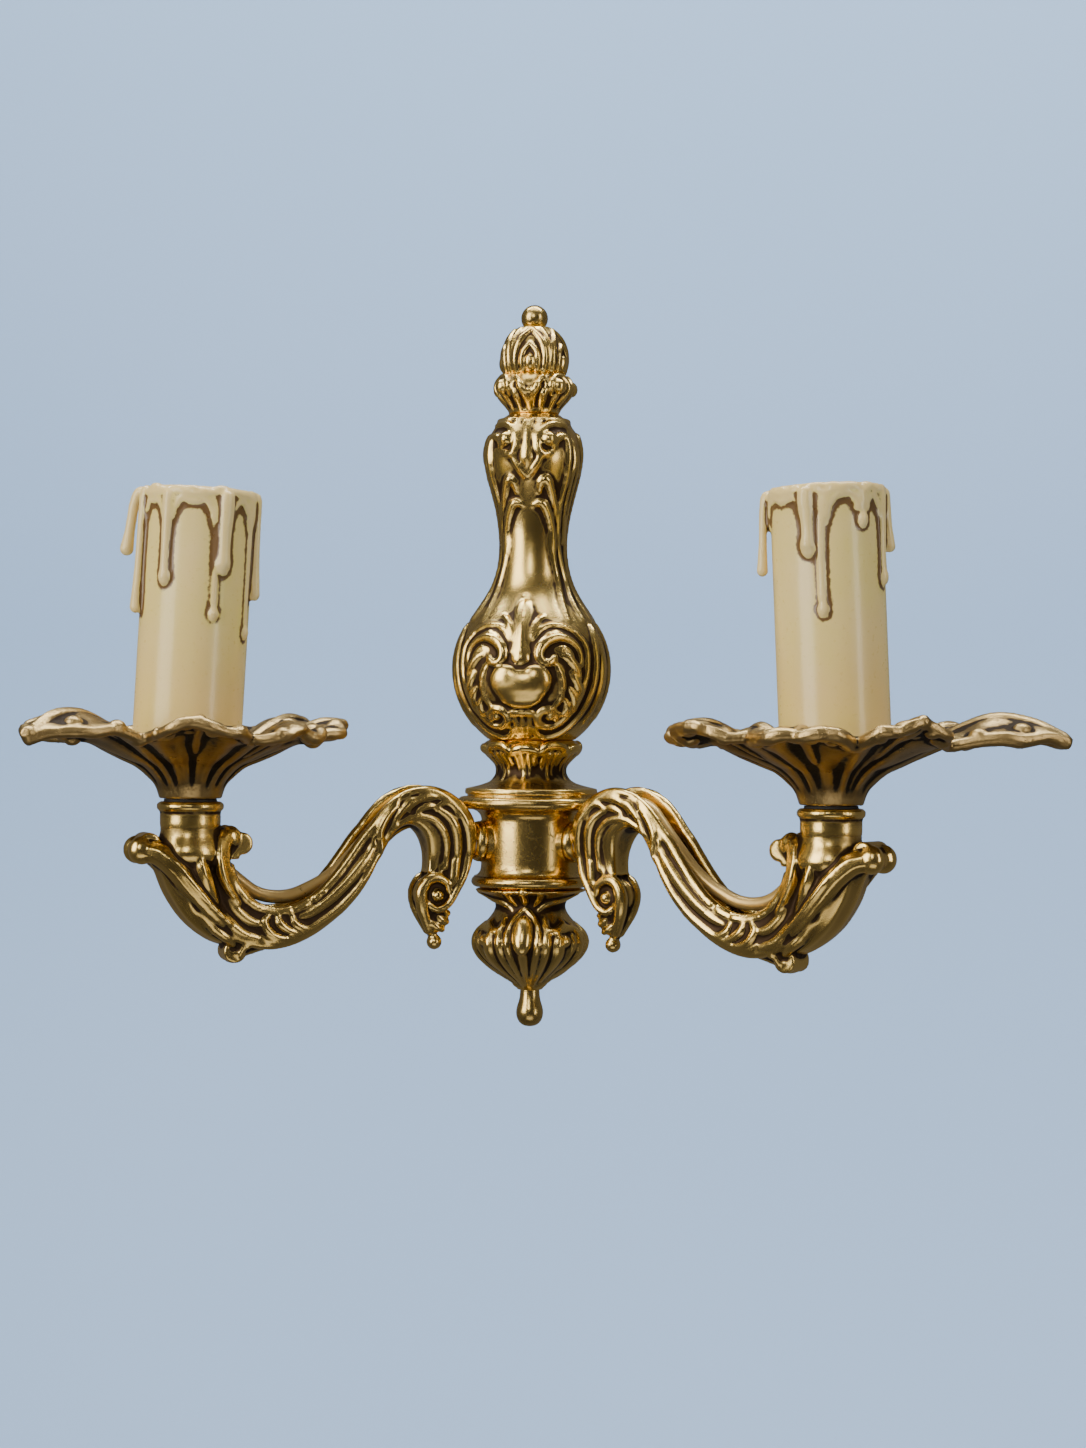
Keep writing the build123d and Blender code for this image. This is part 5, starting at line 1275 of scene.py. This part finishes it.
@dataclass
class Studio:
    """Floor, backdrop, lights and camera."""

    floor_z: float = -0.55
    wall_y: float = 1.5

    def stage(self) -> None:
        """Builds the pale floor that sweeps up into a backdrop in front and behind."""
        form = bmesh.new()
        bend = []
        for i in range(13):
            a = radians(90 * i / 12)
            bend.append((0.6 * sin(a), 0.6 - 0.6 * cos(a)))
        back = [(self.wall_y - 0.6 + y, self.floor_z + z) for y, z in bend] + [(self.wall_y, 2.4)]
        front = [(-self.wall_y - 1.2 - y, self.floor_z + z) for y, z in bend] + [(-self.wall_y - 1.8, 2.4)]
        profile = front[::-1] + back
        points = [form.verts.new((-4, y, z)) for y, z in profile]
        edges = [form.edges.new(pair) for pair in zip(points, points[1:])]
        swept = bmesh.ops.extrude_edge_only(form, edges=edges)["geom"]
        bmesh.ops.translate(form, verts=[v for v in swept if isinstance(v, bmesh.types.BMVert)], vec=(8, 0, 0))
        bmesh.ops.recalc_face_normals(form, faces=form.faces)
        sweep = finished_piece("floor_sweep", form)
        for face in sweep.data.polygons:
            face.use_smooth = True
        bench = Bench("pale_paper")
        colour = bench.blend(bench.ramp(bench.grain(1.2, 2), 0.3, 0.7), (0.42, 0.59, 0.82), (0.39, 0.56, 0.79))
        sweep.data.materials.append(bench.wear(Base_Color=colour, Roughness=0.9))
        sweep.visible_glossy = False

    def lights(self) -> None:
        """Hangs the soft lights and the dim surround."""
        world = bpy.data.worlds.new("surround")
        world.use_nodes = True
        tree = world.node_tree
        glow = tree.nodes["Background"]
        glow.inputs["Color"].default_value = (0.60, 0.56, 0.52, 1)
        way = tree.nodes.new("ShaderNodeSeparateXYZ")
        tree.links.new(tree.nodes.new("ShaderNodeTexCoord").outputs["Generated"], way.inputs[0])
        fade = tree.nodes.new("ShaderNodeMapRange")
        for key, value in (("From Min", -1.0), ("From Max", 0.6), ("To Min", 0.07), ("To Max", 0.22)):
            fade.inputs[key].default_value = value
        tree.links.new(way.outputs["Y"], fade.inputs["Value"])
        tree.links.new(fade.outputs["Result"], glow.inputs["Strength"])
        bpy.context.scene.world = world
        for name, at, size, power, colour in (
            ("key", (-0.85, -0.90, 0.45), (0.75, 1.3), 17.5, (1.0, 0.95, 0.86)),
            ("fill", (1.05, -0.60, 0.25), (0.22, 1.0), 3.6, (1.0, 0.93, 0.84)),
            ("low", (0.15, -0.90, -0.80), (1.0, 0.5), 1.5, (1.0, 0.93, 0.84)),
            ("front", (-0.05, -1.30, 0.55), (0.30, 0.5), 2.2, (1.0, 0.96, 0.88)),
            ("top", (0.0, -0.20, 1.1), (0.9, 0.3), 3.0, (1.0, 0.97, 0.92)),
            ("backdrop", (0.0, 0.35, 1.5), (2.2, 0.5), 50.0, (0.96, 0.98, 1.0)),
        ):
            lamp = bpy.data.lights.new(name, "AREA")
            lamp.shape, lamp.size, lamp.size_y = "RECTANGLE", *size
            lamp.energy, lamp.color = power, colour
            holder = bpy.data.objects.new(name, lamp)
            target = Vector((0, 1.4, 0.0)) if name == "backdrop" else Vector((0, -0.04, -0.02))
            holder.matrix_world = Matrix.Translation(at) @ (target - Vector(at)).to_track_quat("-Z", "Y").to_matrix().to_4x4()
            bpy.context.scene.collection.objects.link(holder)

    def camera(self) -> None:
        """Sets the camera at the photograph's angle."""
        lens = bpy.data.cameras.new("camera")
        lens.lens, lens.sensor_width, lens.sensor_fit, lens.clip_start = 74.59, 36.0, "AUTO", 0.01
        holder = bpy.data.objects.new("camera", lens)
        look = Vector((-0.1426, 0.9898, 0)).to_track_quat("-Z", "Y").to_matrix().to_4x4()
        holder.matrix_world = Matrix.Translation((0.1175, -0.8034, -0.0202)) @ look @ Matrix.Rotation(radians(0.41), 4, "Z")
        bpy.context.scene.collection.objects.link(holder)
        bpy.context.scene.camera = holder


def dress_frame(resin: bpy.types.Material) -> None:
    """Gives every CAD node a finish by its material slot.

    Args:
        resin: the candles' finish.
    """
    made = {slot: finish.make() for slot, finish in PLAIN_FINISHES.items()}
    made["aged_brass"] = TURNED_BRASS.make()
    made["dark_brass"], made["candle_resin"] = made["aged_brass"], resin
    slots = {node["name"]: node.get("material") for node in frame["record"].get("nodes", [])} if isinstance(frame["record"].get("nodes"), list) else {}
    for name, node in frame["nodes"].items():
        slot = slots.get(name) or (node.data.materials[0].name.split(".")[0] if node.data.materials else "")
        finish = made.get(slot, made["aged_brass"])
        LOG.info("node %s wears %s", name, finish.name if slot in made else "? " + str(slot))
        node.data.materials.clear()
        node.data.materials.append(finish)


def main() -> None:
    """Builds the looks, piece by piece."""
    logging.basicConfig(level=logging.INFO, format="%(message)s")
    studio = Studio()
    studio.camera()
    studio.lights()
    studio.stage()
    resin = CandleResin().make()
    dress_frame(resin)
    brass = CAST_BRASS.make()
    for maker in (Baluster(), Neck(), Crown(), Bud(), Pendant(), ScrollArm(Hand.RIGHT), ScrollArm(Hand.LEFT)):
        dress(maker.build(), brass, "sconce")
    turned = bpy.data.materials[TURNED_BRASS.name]
    for hand in Hand:
        dress(DomedSpacer(hand).build(), turned, "sconce")
    pan_brass = PAN_BRASS.make()
    for maker in (LeafPan(Hand.RIGHT, 18.0, reach=(60.0, 42.5, 40.0, 41.0, 43.4, 43.0, 41.0, 43.0)), LeafPan(Hand.LEFT, -35.0)):
        dress(maker.build(), pan_brass, "sconce")
    right = ((-88, 20, 1.2, 2.2), (-20, 15, 1.9, 0), (-5, 31, 1.2, 0), (38, 9, 1.3, 0), (70, 23, 1.4, 0), (96, 15, 1.3, 1.2), (140, 17, 1.4, 0), (190, 24, 1.3, 0), (232, 14, 1.5, 0))
    left = ((-92, 16, 1.5, 3.6), (-76, 31, 1.3, 1.2), (-34, 23, 1.5, 0), (27, 19, 1.9, 0), (20, 32, 1.0, 0), (80, 26, 1.3, 1.0), (66, 36, 1.1, 0), (130, 18, 1.4, 0), (178, 27, 1.3, 0), (224, 16, 1.5, 0))
    for hand, facing, runs in ((Hand.RIGHT, 30.7, right), (Hand.LEFT, 13.1, left)):
        dress(CandleSleeve(hand, facing, runs).build(), resin, hand.word + "_sleeve")


if __name__ == "__main__":
    main()
